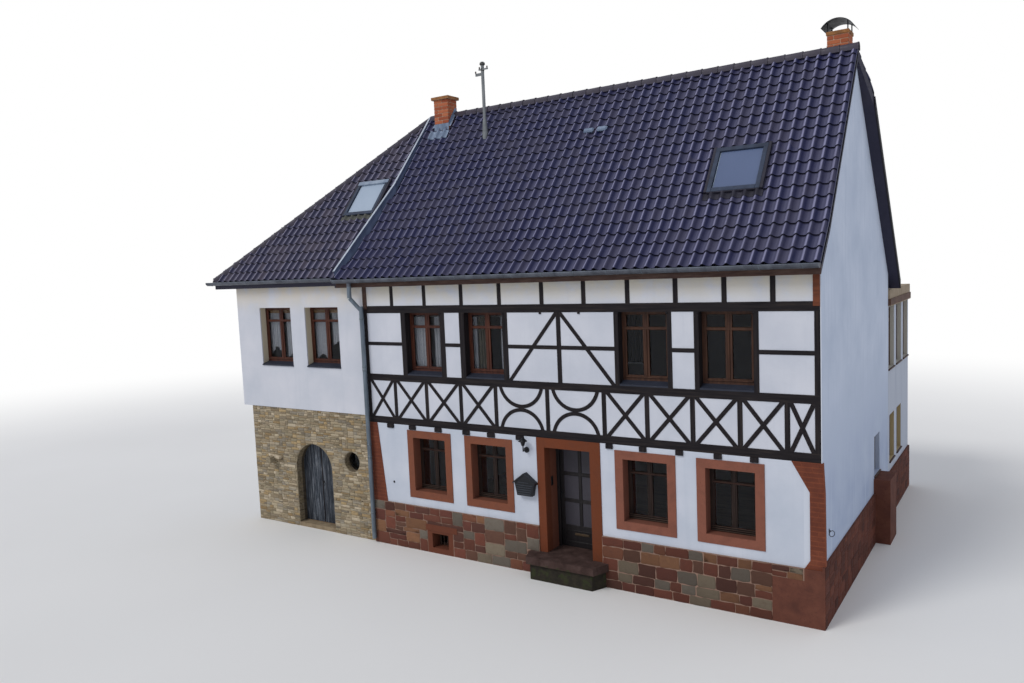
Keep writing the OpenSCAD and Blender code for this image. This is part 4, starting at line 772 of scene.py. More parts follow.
def line_plane(p, q, keep_left):
    """Upright plane through p and q, pointing away from the side that stays."""
    d = Vector((q[0] - p[0], q[1] - p[1], 0)).normalized()
    left = Vector((-d.y, d.x, 0))
    return ((p[0], p[1], 0), -left if keep_left else left)


def side_front_at(a, t):
    return (Vector((a, EAVE_Y + t * cos(SIDE_PITCH), SIDE_EAVE_Z + t * sin(SIDE_PITCH))),
            Vector((0, -sin(SIDE_PITCH), cos(SIDE_PITCH))))


def main_t(y):
    """How far up the main front slope the depth y lies."""
    return SPROCKET_RUN + (y - SPROCKET[0]) / cos(FRONT_PITCH)


def lay_tiles(name, look, rng, at, cols, lines, cover, clips, holes=()):
    bag = Bag()
    tile_field(bag, rng, at, cols, lines, cover)
    bag.make(name, look, smooth=True, slot="dark_glazed_tiles", clips=clips, holes=holes)


def roofs():
    rng = random.Random(11)
    cover = MAIN_COVER
    to_ridge, from_ridge = ((0, RIDGE_Y, 0), (0, 1, 0)), ((0, RIDGE_Y, 0), (0, -1, 0))
    # Main front slope, in two parts because the joint with the side roof bends
    for part, (p, q) in enumerate(zip(JOINT, JOINT[1:])):
        split = ((0, JOINT[1][1], 0), (0, -1 if part else 1, 0))
        lay_tiles("main_front_tiles_%d" % (part + 1), "glaze", rng, main_front_at,
                  [MAIN_EDGE - i * cover for i in range(53)], MAIN_LINES, cover,
                  [split, line_plane(p, q, False), to_ridge, ((VERGE, 0, 0), (1, 0, 0))],
                  [light_hole(MAIN_LIGHT)])
    lay_tiles("main_rear_tiles", "glaze", rng, rear_slope(REAR_EAVE_Y, REAR_EAVE_Z, REAR_PITCH),
              [-REAR_VERGE + i * cover for i in range(50)], even(22),
              cover, [from_ridge, ((PEAK_X, 0, 0), (-1, 0, 0)),
                      line_plane((VERGE, RIDGE_Y), (REAR_VERGE, RIDGE_Y + 700), True),
                      ((REAR_VERGE, 0, 0), (1, 0, 0))])
    # Edge of the verge tiles along the front slope, a dark strip in the tiles' painted shade colour
    bag = Bag()
    for t0, t1 in ((-22.0, 943.0), (943.0, 4955.0)):
        (p, _), (q, n) = main_front_at(VERGE, t0), main_front_at(VERGE, t1)
        frame_block(bag, lambda a, b, c: p + (q - p) * (b / 1000) + n * c + Vector((a, 0, 0)),
                    (-12, 0), (0, 1000), (-60, 46), (0.3, 0.0))
    bag.make("verge_edge", "glaze", slot="dark_glazed_tiles")
    # Side roof: front, left end and rear
    cover = SIDE_COVER
    hip, peak, rear_hip = (SIDE_LEFT_X, EAVE_Y), (PEAK_X, RIDGE_Y), (SIDE_LEFT_X, SIDE_REAR_Y)
    lay_tiles("side_front_tiles", "side_glaze", rng, side_front_at,
              [SIDE_EDGE - (i + 1) * cover for i in range(24)], even(18), cover,
              [line_plane(hip, peak, False), line_plane(JOINT[0], JOINT[1], True),
               line_plane(JOINT[1], JOINT[2], True), to_ridge], [light_hole(SIDE_LIGHT)])
    at = slope((SIDE_LEFT_X, 0, SIDE_EAVE_Z), (cos(END_PITCH), 0, sin(END_PITCH)), (0, -1, 0),
               (-sin(END_PITCH), 0, cos(END_PITCH)))
    lay_tiles("side_end_tiles", "side_glaze", rng, at, [-SIDE_REAR_Y - 20 + i * cover for i in range(30)],
              even(23), cover, [line_plane(hip, peak, True), line_plane(rear_hip, peak, False)])
    lay_tiles("side_rear_tiles", "side_glaze", rng, rear_slope(SIDE_REAR_Y, SIDE_EAVE_Z, SIDE_PITCH),
              [40 + i * cover for i in range(24)], even(18), cover,
              [line_plane(rear_hip, peak, True), from_ridge, ((PEAK_X, 0, 0), (1, 0, 0))])


def cap_tiles(bag, rng, a, b, r, pitch=336.0, skirt=35.0):
    """Half round tiles from a up to b, each lapping the one below with a thicker collar."""
    a, b = Vector(a), Vector(b)
    d = (b - a).normalized()
    count = max(1, round((b - a).length / pitch))
    step = (b - a).length / count
    side = d.cross(Vector((0, 0, 1))).normalized()
    up = side.cross(d)
    angles = [pi * k / 10 for k in range(11)]
    for i in range(count):
        tone = rng.random()
        rings = []
        for share, rr in ((-0.07, r + 9), (-0.01, r + 9), (0.01, r + 2), (0.98, r - 5)):
            c = a + d * (step * (i + share)) + up * rng.uniform(-1, 1)
            ring = [c + side * rr - up * skirt]
            ring += [c + side * (rr * cos(t)) + up * (rr * sin(t)) for t in angles]
            ring.append(c - side * rr - up * skirt)
            rings.append(ring)
        n = len(rings[0])
        verts = [p for ring in rings for p in ring]
        mouth = a + d * (step * (i - 0.07))
        bag.add(verts, grid(len(rings), n), (tone, 0.0), [0.6] * len(verts))
        # Ring across each tile's open end, painted near black as the shade inside it
        inner = [mouth + (p - mouth) * ((r - 4) / (r + 9)) for p in rings[0]]
        bag.add(rings[0] + inner, [(n + k, n + k + 1, k + 1, k) for k in range(n - 1)], (tone, 1.0))


def ridges():
    rng = random.Random(5)
    bag = Bag()
    top = RIDGE_Z + 44
    cap_tiles(bag, rng, (VERGE - 2, RIDGE_Y, top), (700, RIDGE_Y, top), 86, skirt=52)
    cap_tiles(bag, rng, (265, RIDGE_Y, top), (-60, RIDGE_Y, top), 86, skirt=52)
    foot_z = SIDE_EAVE_Z + 34
    for y in (EAVE_Y, SIDE_REAR_Y):
        cap_tiles(bag, rng, (SIDE_LEFT_X + 30, y + (20 if y < 0 else -20), foot_z),
                  (PEAK_X, RIDGE_Y, RIDGE_Z + 40), 84, skirt=50)
    bag.make("ridge_and_hip_tiles", "ridge", smooth=True, slot="ridge_tiles", replaces=["ridge_caps"])


# Stonework
def courses(rng, a0, a1, b0, b1, w, h, start=None, cell=25.0):
    """Fills a rectangle with stones of random size and returns (a0, a1, b0, b1) of each."""
    n = int(round((a1 - a0) / cell))
    line = [b0] * n
    if start:
        for i in range(n):
            line[i] = start(a0 + (i + 0.5) * cell, b0)
    out = []
    small = max(2, int(w[0] / cell))
    while True:
        low = min(line)
        if low >= b1 - 2:
            return out
        i = line.index(low)
        j = i
        while j < n and abs(line[j] - low) < 1:
            j += 1
        want = max(2, int(round(rng.uniform(*w) / cell)))
        if j - i - want < small:
            want = j - i
            if want > 1.5 * w[1] / cell:
                want = want // 2
        top = low + rng.uniform(*h)
        for beside in ([line[i - 1]] if i else []) + ([line[j]] if j < n else []):
            if beside > low + h[0] * 0.6 and abs(beside - top) < h[0] * 0.7:
                top = beside
        if b1 - top < h[0] * 0.75:
            top = b1
        if rng.random() < 0.5:
            i, j = j - want, j
        out.append((a0 + i * cell, a0 + (i + want) * cell, low, top))
        for c in range(i, i + want):
            line[c] = top


def stone_face(bag, rng, place, box, joint, relief, jitter, tint, push=None, step=85.0, cut=(0.1, 0.22)):
    """One stone with an uneven outline and a rounded face, in front of its bed."""
    a0, a1, b0, b1 = box[0] + joint / 2, box[1] - joint / 2, box[2] + joint / 2, box[3] - joint / 2
    if a1 - a0 < 18 or b1 - b0 < 14:
        return
    cut = min(a1 - a0, b1 - b0) * rng.uniform(*cut)
    corners = [(a0, b0), (a1, b0), (a1, b1), (a0, b1)]
    ring = []
    for i, (pa, pb) in enumerate(corners):
        qa, qb = corners[(i + 1) % 4]
        length = hypot(qa - pa, qb - pb)
        da, db = (qa - pa) / length, (qb - pb) / length
        inner = length - 2 * cut
        pieces = max(1, int(inner / step))
        for k in range(pieces + 1):
            s = cut + inner * k / pieces
            ring.append([pa + da * s + rng.uniform(-jitter, jitter) * 0.6,
                         pb + db * s + rng.uniform(-jitter, jitter) * 0.6])
    if push:
        for p in ring:
            p[0], p[1] = push(p[0], p[1])
    ca, cb = sum(p[0] for p in ring) / len(ring), sum(p[1] for p in ring) / len(ring)
    small = min(a1 - a0, b1 - b0)
    verts = []
    for inset, d in ((0.0, -3.0), (0.0, relief * 0.45), (min(0.13, 9 / small * 2), relief)):
        for p in ring:
            wob = rng.uniform(-0.15, 0.15) * relief if d > 0 else 0.0
            verts.append(place(p[0] + (ca - p[0]) * inset, max(p[1] + (cb - p[1]) * inset, 1.0), d + wob))
    verts.append(place(ca, cb, relief * rng.uniform(0.9, 1.35)))
    n = len(ring)
    faces = grid(3, n, True)
    faces += [(2 * n + k, 2 * n + (k + 1) % n, 3 * n) for k in range(n)]
    bag.add(verts, faces, tint)


# Where the plinth's colour ramp has its grey and its brown stones
GREY_TONES, BROWN_TONES = [0.65, 0.75], [0.05, 0.15, 0.25, 0.35, 0.45, 0.55, 0.85, 0.95]


def stonework():
    rng = random.Random(23)
    # Rubble plinth of the front
    bag = Bag()
    place = front(-40)

    def over_cellar(a, b0):
        return 580.0 if 1582 < a < 2288 else b0

    boxes = courses(rng, 0, 4500, 0, PLINTH_Z, (210, 480), (135, 285), over_cellar)
    boxes += courses(rng, 5925, 9170, 0, PLINTH_Z, (210, 460), (135, 270))
    boxes += courses(rng, 9170, 9707, 800, PLINTH_Z, (150, 300), (100, 140))
    for box in boxes:
        left_of_door = box[0] < 5000
        big = 2400 < box[0] < 4400 and box[1] - box[0] > 250
        grey = rng.random() < (0.36 if big else 0.12 if left_of_door else 0.2)
        tone = rng.choice(GREY_TONES if grey else BROWN_TONES)
        dull = rng.uniform(0.1, 0.7) if left_of_door else rng.uniform(0.65, 1.0)
        stone_face(bag, rng, place, box, 14, 7, 15, (tone, dull), cut=(0.04, 0.12))
    bag.make("plinth_stones", "plinth_stone", smooth=True, slot="rubble_stone")
    bag = Bag()
    block(bag, 1545, -56, 505, 870, 16, 140, chamfer=5)
    bag.make("cellar_lintel", "surround", slot="pink_sandstone")
    # Painted masonry of the gable plinth
    bag = Bag()
    for box in courses(rng, -40, 9825, 0, 1085, (170, 420), (80, 190)):
        if box[1] > 4746 and box[0] < 5546:
            continue
        stone_face(bag, rng, gable(10040), box, 8, 4, 6, (rng.random(), rng.random()))
    bag.make("gable_plinth_stones", "painted_stone", smooth=True, slot="red_masonry_paint")
    # Thin coursed rubble of the side house, round the arch and the round window
    bag = Bag()
    ar, orad = 617.0 + 8, 240.0 + 6

    def outside(a, b, x, z, r):
        """Moves a point inside a circle out to its edge."""
        d = hypot(a - x, b - z) or 1.0
        return (x + (a - x) * r / d, z + (b - z) * r / d) if d < r else (a, b)

    def push(a, b):
        """Moves a point out of the doorway and the round window."""
        if b < ARCH_Z:
            if abs(a - ARCH_X) < ar:
                a = ARCH_X + copysign(ar, a - ARCH_X)
        else:
            a, b = outside(a, b, ARCH_X, ARCH_Z, ar)
        return outside(a, b, ROUND_X, ROUND_Z, orad)

    def inside(a, b):
        if b < ARCH_Z:
            return abs(a - ARCH_X) < ar
        return hypot(a - ARCH_X, b - ARCH_Z) < ar or hypot(a - ROUND_X, b - ROUND_Z) < orad

    for box in courses(rng, -4068, 0, 0, BEAM_TOP, (90, 300), (30, 78), cell=23.0):
        if inside((box[0] + box[1]) / 2, (box[2] + box[3]) / 2):
            continue
        stone_face(bag, rng, front(0), box, 5, 10, 7, (rng.random(), rng.random()), push, 60)
    # Stones that stick out left of the arch: the ledge in the palest tone as a painted highlight on its top,
    # and under it a darker block that stands for its painted shadow

    def tapered(a, b, c):
        return a, b * (0.2 + 0.8 * (a + 3560) / 500), c - 0.06 * (a + 3560)

    frame_block(bag, tapered, (-3560, -3060), (-135, 5), (1705, 1770), (0.82, 0.0), 6)
    frame_block(bag, tapered, (-3480, -3075), (-110, 5), (1668, 1705), (0.3, 1.0), 6)
    bag.make("side_house_stones", "side_stone", smooth=True, slot="ochre_rubble")


# Painted bricks and chimneys
def pilaster_bricks():
    rng = random.Random(31)
    bag = Bag()
    place = front(-15)
    bend_z, pitch, step = 2321, 82.7, 255.0

    def inner_right(z):
        """Left edge of the right pilaster, wider at its head and foot."""
        if z > bend_z:
            return 9507 + (BEAM_Z - z) * (9800 - 9507) / 507
        return 9800.0 if z > 1158 else 9707 + (z - PLINTH_Z) * (9800 - 9707) / 150

    def outer_right(z):
        if z > bend_z:
            return VERGE - (z - bend_z) * 25 / 507 - 3
        return 10050 - (z - 1085) * 10 / 1236 - 3 if z > 1080 else 9996.0

    def inner_left(z):
        return 422 + (z - PLINTH_Z) * (232 - 422) / (BEAM_Z - PLINTH_Z)

    for row in range(int((BEAM_Z - PLINTH_Z) / pitch)):
        z0, z1 = zs = PLINTH_Z + row * pitch + 6, PLINTH_Z + (row + 1) * pitch - 6
        for lo, hi in (((2.0, 2.0), [inner_left(z) - 4 for z in zs]),
                       ([inner_right(z) + 4 for z in zs], [outer_right(z) for z in zs])):
            wide = hi[0] - lo[0]
            cuts, x = [0.0], step * (0.5 if row % 2 else 1.0)
            while x < wide - 70:
                cuts.append(x / wide)
                x += step
            cuts.append(1.0)
            for s0, s1 in zip(cuts, cuts[1:]):
                (a0, a1), (b0, b1) = [[a + (b - a) * s + gap for a, b in zip(lo, hi)]
                                      for s, gap in ((s0, 1.5), (s1, -1.5))]
                out = rng.uniform(1.5, 3.0)
                ring = [(a0, z0), (b0, z0), (b1, z1), (a1, z1)]
                ca, cb = sum(p[0] for p in ring) / 4, (z0 + z1) / 2
                verts = [place(a, b, -1) for a, b in ring]
                verts += [place(a + (4 if a < ca else -4), b + (4 if b < cb else -4), out) for a, b in ring]
                bag.add(verts, [(4, 5, 6, 7)] + grid(2, 4, True),
                        (rng.random(), 0.0))
    bag.make("pilaster_bricks", "pilaster_brick", slot="red_masonry_paint")


def chimney_bricks():
    rng = random.Random(41)
    bag = Bag()
    pitch = 83.0
    for (x0, y0, w, d), top in zip(CHIMNEYS, (10410, 10420)):
        low = min(roof_top(y0), roof_top(y0 + d)) - 40
        for row in range(int((top - low) / pitch)):
            z1 = top - row * pitch - 5
            z0 = z1 - pitch + 10
            for place, a0, a1, flip in ((front(y0), x0 - 6, x0 + w + 6, 0), (gable(x0 + w), y0, y0 + d, 1),
                                        (back(y0 + d), -x0 - w - 6, -x0 + 6, 0),
                                        (left_end(x0), -y0 - d, -y0, 1)):
                odd = (row + flip) % 2
                cuts = [a0, a0 + (125 if odd else 245)]
                while cuts[-1] + 250 < a1 - 60:
                    cuts.append(cuts[-1] + 250)
                cuts.append(a1)
                for b0, b1 in zip(cuts, cuts[1:]):
                    stone_face(bag, rng, place, (b0, b1, z0 - 5, z1 + 5), 10, 6, 1.0,
                               (rng.random(), rng.random() * 0.6), None, 300)
    bag.make("chimney_bricks", "brick", slot="orange_brick")
    bag = Bag()
    block(bag, 218, 2588, 10409, 524, 464, 73, chamfer=8)
    block(bag, 9462, 2972, 10345, 416, 436, 72, chamfer=8)
    bag.make("chimney_slabs", "slab", slot="orange_brick")


# Sheet metal
def joint_zinc():
    """Zinc strip over the joint between the two roofs, its face down to the main roof in darker zinc as painted
    shade.
    """
    bag, face = Bag(), Bag()
    rings = []
    for y in (-168, 0, 165, 330, 495, 745, 995, 1245, 1495, 1860, 2220, 2580, RIDGE_Y - 60):
        (xa, ya), (xb, yb) = JOINT[:2] if y < JOINT[1][1] else JOINT[1:]
        x = xa + (xb - xa) * (y - ya) / (yb - ya)
        zt = max(side_top(y) + 88 / cos(SIDE_PITCH), roof_top(y) + 96 / cos(FRONT_PITCH)) + 16
        zb = roof_top(y) + 34 / cos(FRONT_PITCH)
        rings.append([(x - 40, y, zt - 30), (x - 34, y, zt - 4), (x - 4, y, zt), (x + 9, y, zt - 4),
                      (x + 12, y, zt - 16), (x + 14, y, (zt + zb) / 2), (x + 34, y, zb)])
    for a, b in zip(rings, rings[1:]):
        bag.add(a[:5] + b[:5], grid(2, 5))
        face.add(a[4:] + b[4:], grid(2, 3))
    bag.make("joint_zinc_strip", "zinc_pale", slot="zinc_sheet")
    face.make("joint_zinc_face_shaded", "zinc_shade_paint", slot="zinc_sheet")


def chimney_zinc():
    """Zinc round the chimneys. The left one has an apron dressed over the tiles."""
    bag = Bag()
    for (x0, y0, w, d), apron in zip(CHIMNEYS, (True, False)):
        ys = [y0 - 10, y0 + d / 2, y0 + d + 10]
        if apron:
            ys = [y0 - 14, (y0 + RIDGE_Y) / 2, RIDGE_Y, (RIDGE_Y + y0 + d) / 2, y0 + d + 10]
            t = main_t(y0 - 6)
            for out, ts, above in ((105, (t - 235, t - 225), (-4, 17)), (105, (t - 225, t - 60), (17, 19)),
                                   (60, (t - 60, t), (19, 30))):
                dressed(bag, main_front_at, MAIN_EDGE, MAIN_COVER, (x0 - out, x0 + w + 45), ts, above)
            block(bag, x0 - 12, y0 - 14, roof_top(y0 - 8) + 60, w + 24, 6, 165)
        for side in (-1, 1):
            xf = x0 - 9 if side < 0 else x0 + w + 9
            verts = []
            for y in ys:
                z = roof_top(y) + 96 / cos(FRONT_PITCH)
                verts += [(xf + side * 62, y, z - 10), (xf, y, z + 4), (xf, y, z + 85)]
            bag.add(verts, [q[::side] for q in grid(len(ys), 3)])
    bag.make("zinc_flashings", "zinc_blue", slot="zinc_sheet")


def mast_sleeve():
    bag = Bag()
    mx, my = MAST
    z = roof_top(my)
    tube(bag, [(mx, my, z + dz) for dz in (-60, 120, 125, 395)], (84, 72, 64, 46), 16)
    for dz, r in ((150, 66), (265, 58)):
        tube(bag, [(mx, my, z + dz), (mx, my, z + dz + 24)], r, 16)
    bag.make("mast_sleeve", "steel", slot="zinc_sheet")


def gutter_parts():
    """Gutter brackets, pipe clips, and the rolled front edges of the gutters, these in a lighter zinc as a
    painted highlight.
    """
    bag, rim_highlights = Bag(), Bag()
    for y, z, xs, ends in GUTTERS:
        for x in xs:
            tube(bag, [(x, y - GUTTER_R + GUTTER_R * cos(a), z - GUTTER_R * sin(a)) for a in
                       [pi * k / 12 for k in range(1, 13)]], 6, 6)
        tube(rim_highlights, [(x, y - 160, z - 6) for x in ends], 8, 8)
    for zs, high, r in (((700, 2300, 4100, 5200), 34, 56), ((2000, 4020), 60, 54)):
        for z in zs:
            tube(bag, [(30, -105, z), (30, -105, z + high)], r, 20)
    bag.make("gutter_fittings", "zinc", smooth=True, slot="zinc_sheet")
    rim_highlights.make("gutter_rim_highlights", "zinc_light", smooth=True, slot="zinc_sheet")


# Roof windows
def roof_windows():
    frames, hoods_and_highlight, main_apron, side_apron = Bag(), Bag(), Bag(), Bag()
    for (c, u, a, n), side in ((MAIN_LIGHT, False), (SIDE_LIGHT, True)):
        c, u, a, n = Vector(c), Vector(u), Vector(a), Vector(n)

        def at(x, y, z):
            return c + a * x + u * y + n * z

        # Cladding over the fixed frame
        for xs, ys in (((-484, -404), (-532, 532)), ((404, 484), (-532, 532)), ((-404, 404), (-532, -440))):
            frame_block(frames, at, xs, ys, (52, 98), c=5)
        hood = (-490, 490), (432, 545) if side else (440, 535), (50, 112 if side else 100)
        frame_block(hoods_and_highlight if side else frames, at, *hood, c=8)
        # Outer pane: on the side window its blind shows through, on the main window it carries a painted sky
        # reflection
        pane = Bag()
        frame_block(pane, at, (-403, 403), (-439, 439), (58, 63))
        pane.make("roof_pane_%s" % ("side" if side else "main"), "blind" if side else "painted_sky_reflection",
                  slot="grey_metal_frame")
        if not side:
            # Foot rail, dark as painted shade, and a light strip at the blind's left edge as a painted
            # highlight
            frame_block(main_apron, at, (-484, 484), (-552, -533), (40, 92), (0.1, 0), 3)
            frame_block(hoods_and_highlight, at, (-400, -384), (-430, 430), (63, 66))
        # Apron dressed over the tiles below, and soakers at the sides
        bag = side_apron if side else main_apron
        edge, cover = (SIDE_EDGE, SIDE_COVER) if side else (MAIN_EDGE, MAIN_COVER)
        deep = 120 if side else 150
        rows = [at(0, -530 - deep * k / 4, 0) for k in range(5)]

        def over(x, t, rows=rows, a=a, n=n):
            return rows[int(t)] + a * (x - rows[0].x), n

        dressed(bag, over, edge, cover, (c.x - 545, c.x + 545), (4, 3, 2, 1, 0), (1, 5, 6, 8, 10))
        for s in (-1, 1):
            xs = sorted((s * 482, s * 540))
            frame_block(main_apron, at, xs, (-530, 560), (50, 92), c=4)
    frames.make("roof_window_cladding", "light_frame", slot="grey_metal_frame")
    hoods_and_highlight.make("roof_window_hoods_and_highlight", "hood", slot="grey_metal_frame")
    main_apron.make("roof_window_apron_main", "apron_dark", slot="zinc_sheet")
    side_apron.make("roof_window_apron_side", "apron", slot="zinc_sheet")


# Windows and doors
def lights(x0, z0, w, h):
    """Left, right, foot and head of a window's four lights, lower and upper on each side."""
    xm, zt = x0 + w / 2, z0 + h * TRANSOM
    for xa, xb in ((x0 + FRAME_W, xm - BAR_W / 2), (xm + BAR_W / 2, x0 + w - FRAME_W)):
        yield xa, xb, z0 + FRAME_W, zt
        yield xa, xb, zt + BAR_W, z0 + h - FRAME_W


def inner_frame(xa, xb, za, zb, left, right, foot, head):
    """Four bars inside a rectangle, each as x, z, width and height."""
    across = xb - xa - left - right
    return ((xa, za, left, zb - za), (xb - right, za, right, zb - za), (xa + left, za, across, foot),
            (xa + left, zb - head, across, head))


def sash(bag, x0, z0, w, h, y, side=36, mid=42, foot=50):
    for i, edges in enumerate(lights(x0, z0, w, h)):
        wide = (side, mid) if i < 2 else (mid, side)
        for x, z, bw, bh in inner_frame(*edges, *wide, *((10, 14) if i % 2 else (foot, 10))):
            block(bag, x, y, z, bw, 26, bh, chamfer=4)


def casements():
    """Sashes inside the fixed frames, with weather bars."""
    upper, lower, bars, reds = Bag(), Bag(), Bag(), Bag()
    for xs, z, w, h, y, widths, upright in ((UPPER_X, 4045, 960, 1292, (172, 150, 158), (36, 42), 900),
                                            (SIDE_X, 4131, 1116, 1352, (166, 140, 150), (40, 44), 960)):
        for x in xs:
            sash(upper, x - w / 2, z, w, h, y[0], *widths)
            block(upper, x - w / 2 + 50, y[1], z + 50, w - 100, 34, 28, chamfer=8)
            block(upper, x - 15, y[2], z + 50, 30, 16, upright, chamfer=5)
    for x in LOWER_X:
        sash(lower, x - 443, LOWER_Z, 886, LOWER_H, LOWER_SET + 6, side=30, mid=32, foot=40)
        for z, out in ((14, 30), (50, 20), (86, 12)):
            block(bars, x - 430, LOWER_SET - out, LOWER_Z + z, 860, out, 13, chamfer=4)
        block(reds, x - 393, LOWER_SET - 8, LOWER_Z + LOWER_H * TRANSOM + 8, 786, 10, 22, chamfer=3)
    # Upright bars of the cellar window
    for k in range(4):
        x = 1935 - 223 + 446 * (k + 1) / 5
        tube(bars, [(x, 150, 122), (x, 150, 448)], 9, 8, (0.9, 0.0))
    upper.make("upper_sashes", "window_brown", slot="brown_window_wood")
    lower.make("lower_sashes", "window_dark", slot="brown_window_wood")
    bars.make("window_rails", "rail_red", slot="brown_window_wood")
    reds.make("window_transoms", "transom_red", slot="brown_window_wood")
    # Sashes of the windows at the back and on the gable
    bag = Bag()
    large, small = (3520, 800, 1440), (1317, 700, 1100)
    side, rear, end = gable(HOUSE_W), back(HOUSE_D), back(HOUSE_D + 3200)
    for place, a, (z, w, h) in ([(side, HOUSE_D + y, large) for y in (470, 1590, 2710)]
                                + [(side, HOUSE_D + y, small) for y in (540, 1620)]
                                + [(side, 5146, (1450, 640, 850))]
                                + [(end, -(HOUSE_W - 4500 * s), large) for s in (0.3, 0.7)]
                                + [(rear, -x, size) for x in (1500, 3800) for size in (large, small)]):

        def turned(p, d, q):
            return place(p, q, d)

        for edges in lights(a - w / 2, z, w, h):
            for x, foot, bw, bh in inner_frame(*edges, 26, 26, 30, 26):
                frame_block(bag, turned, (x, x + bw), (-110, -92), (foot, foot + bh), c=4)
        frame_block(bag, turned, (a - w / 2 - 30, a + w / 2 + 30), (-60, 35), (z - 34, z - 2), c=6)
    bag.make("rear_sashes", "window_brown", slot="brown_window_wood")


def rim(x, z, w, h, t):
    """Four mouldings t wide inside a rectangle, each as x, z, width and height."""
    return (x, z, w, t), (x, z + h - t, w, t), (x, z + t, t, h - 2 * t), (x + w - t, z + t, t, h - 2 * t)


def front_door():
    frame_bag, leaf, panes, brass, iron = Bag(), Bag(), Bag(), Bag(), Bag()
    x0, x1, z0, z1 = 4679, 5699, 475, 2635
    # Fixed frame in front of the leaf
    for box in ((x0, 440, z0, 62, 62, z1 - z0), (x1 - 62, 440, z0, 62, 62, z1 - z0),
                (x0 + 62, 440, z1 - 66, x1 - x0 - 124, 62, 66)):
        block(frame_bag, *box, chamfer=6)
    frame_bag.make("door_frame", "door_wood", slot="dark_door_wood")
    # Mouldings, panes and panel on the leaf
    lx, lz, w, h = x0 + 8, z0 + 8, 1004, 2144
    stile, rail, panel, bar = 120, 95, 250, 50
    pw, ph = (w - 2 * stile - bar) / 2, (h - panel - 3 * rail - 2 * bar) / 3
    for i in range(2):
        for j in range(3):
            px, pz = lx + stile + i * (pw + bar), lz + panel + 2 * rail + j * (ph + bar)
            block(panes, px + 2, 515, pz + 2, pw - 4, 6, ph - 4)
            for x, z, bw, bh in rim(px, pz, pw, ph, 12):
                block(leaf, x, 502, z, bw, 16, bh, chamfer=5)
    px, pz, pw = lx + stile, lz + rail, w - 2 * stile
    for x, z, bw, bh in rim(px, pz, pw, panel, 18):
        block(leaf, x, 500, z, bw, 18, bh, chamfer=6)
    leaf.make("door_mouldings", "door_wood", "front_door", slot="dark_door_wood")
    panes.make("door_panes", "door_pane", "front_door", slot="dark_door_wood")
    block(brass, px + 225, 500, pz + 150, 330, 7, 50, chamfer=3)
    block(brass, px + 240, 495, pz + 160, 300, 6, 30, chamfer=2)
    brass.make("door_slot", "brass_dull", "front_door", slot="dark_door_wood")
    handle = Bag()
    block(handle, lx + 38, 494, lz + 990, 40, 10, 210, chamfer=4)
    tube(handle, [(lx + 58, 494, lz + 1120), (lx + 58, 455, lz + 1120), (lx + 70, 448, lz + 1120),
                  (lx + 170, 448, lz + 1120)], 9, 10)
    handle.make("door_handle", "iron", "front_door", slot="dark_door_wood")
    # Bell plate on the left reveal
    block(iron, 4679, 212, 1800, 12, 72, 190, chamfer=3)
    tube(iron, [(4691, 248, 1850), (4699, 248, 1850)], 18, 14)
    iron.make("bell_plate", "iron", slot="dark_sheet")


def arched_doors():
    """Planks on both leaves, a strip over their joint and a handle."""
    rng = random.Random(51)
    joints, y0, r = (4, 128, 262, 380, 510, 622), 248.0, 612.0
    for s, side in ((-1, "left"), (1, "right")):
        bag = Bag()
        for a, b in zip(joints, joints[1:]):
            xa, xb = sorted((ARCH_X + s * a, ARCH_X + s * b))
            xa, xb = xa + 3, xb - 3
            tint, out = (rng.random(), 0.0), rng.uniform(2.5, 5.0)
            outline = [(xa, 116), (xb, 116)]
            for k in reversed(range(5)):
                x = xa + (xb - xa) * k / 4
                outline.append((x, ARCH_Z + sqrt(max(r * r - (x - ARCH_X) ** 2, 0.0))))
            n, ca = len(outline), (xa + xb) / 2
            verts = [(x, y0 + 0.5, z) for x, z in outline]
            verts += [(x + (3 if x < ca else -3), y0 - out, z - (3 if z > 500 else -3)) for x, z in outline]
            bag.add(verts, [tuple(range(n, 2 * n))] + grid(2, n, True), tint)
        bag.make("arch_planks_" + side, "planks", "arch_door_" + side, slot="blue_grey_planks")
    iron, strip = Bag(), Bag()
    tube(iron, [(ARCH_X + 60 + 38 * sin(t), 232, 1130 - 38 + 38 * cos(t)) for t in TURN], 5, 6, caps=False)
    block(iron, ARCH_X + 40, 236, 1110, 40, 8, 60, chamfer=2)
    iron.make("arch_ring_handle", "iron", "arch_door_right", slot="blue_grey_planks")
    block(strip, ARCH_X + 3, 235, 118, 30, 12, 1988, chamfer=4)
    strip.make("arch_strip", "timber_z", "arch_door_right", slot="blue_grey_planks")


# Curtains: left and right edge, hem, head, depth, cloth and how far the hem is drawn up in the middle
FRONT_ROW, SIDE_ROW, REAR_ROW = (5238, 290), (5398, 265), (5088, 6262)
CURTAINS = (
    (1250, 1560, 4120, *FRONT_ROW, "curtain", 0), (1800, 2150, 4120, *FRONT_ROW, "curtain", 0),
    (2850, 2960, 4120, *FRONT_ROW, "curtain", 0), (2990, 3270, 4120, *FRONT_ROW, "curtain_olive", 0),
    (3560, 3760, 4120, *FRONT_ROW, "curtain", 0), (-3480, -3080, 4330, *SIDE_ROW, "curtain", 160),
    (-2890, -2440, 4230, *SIDE_ROW, "curtain", 120), (-1870, -1440, 4220, *SIDE_ROW, "curtain", 120),
    (-1290, -830, 4560, *SIDE_ROW, "curtain", 100), (1060, 1940, 3560, *REAR_ROW, "curtain_olive", 0),
    (3360, 4240, 3560, *REAR_ROW, "curtain_olive", 0))


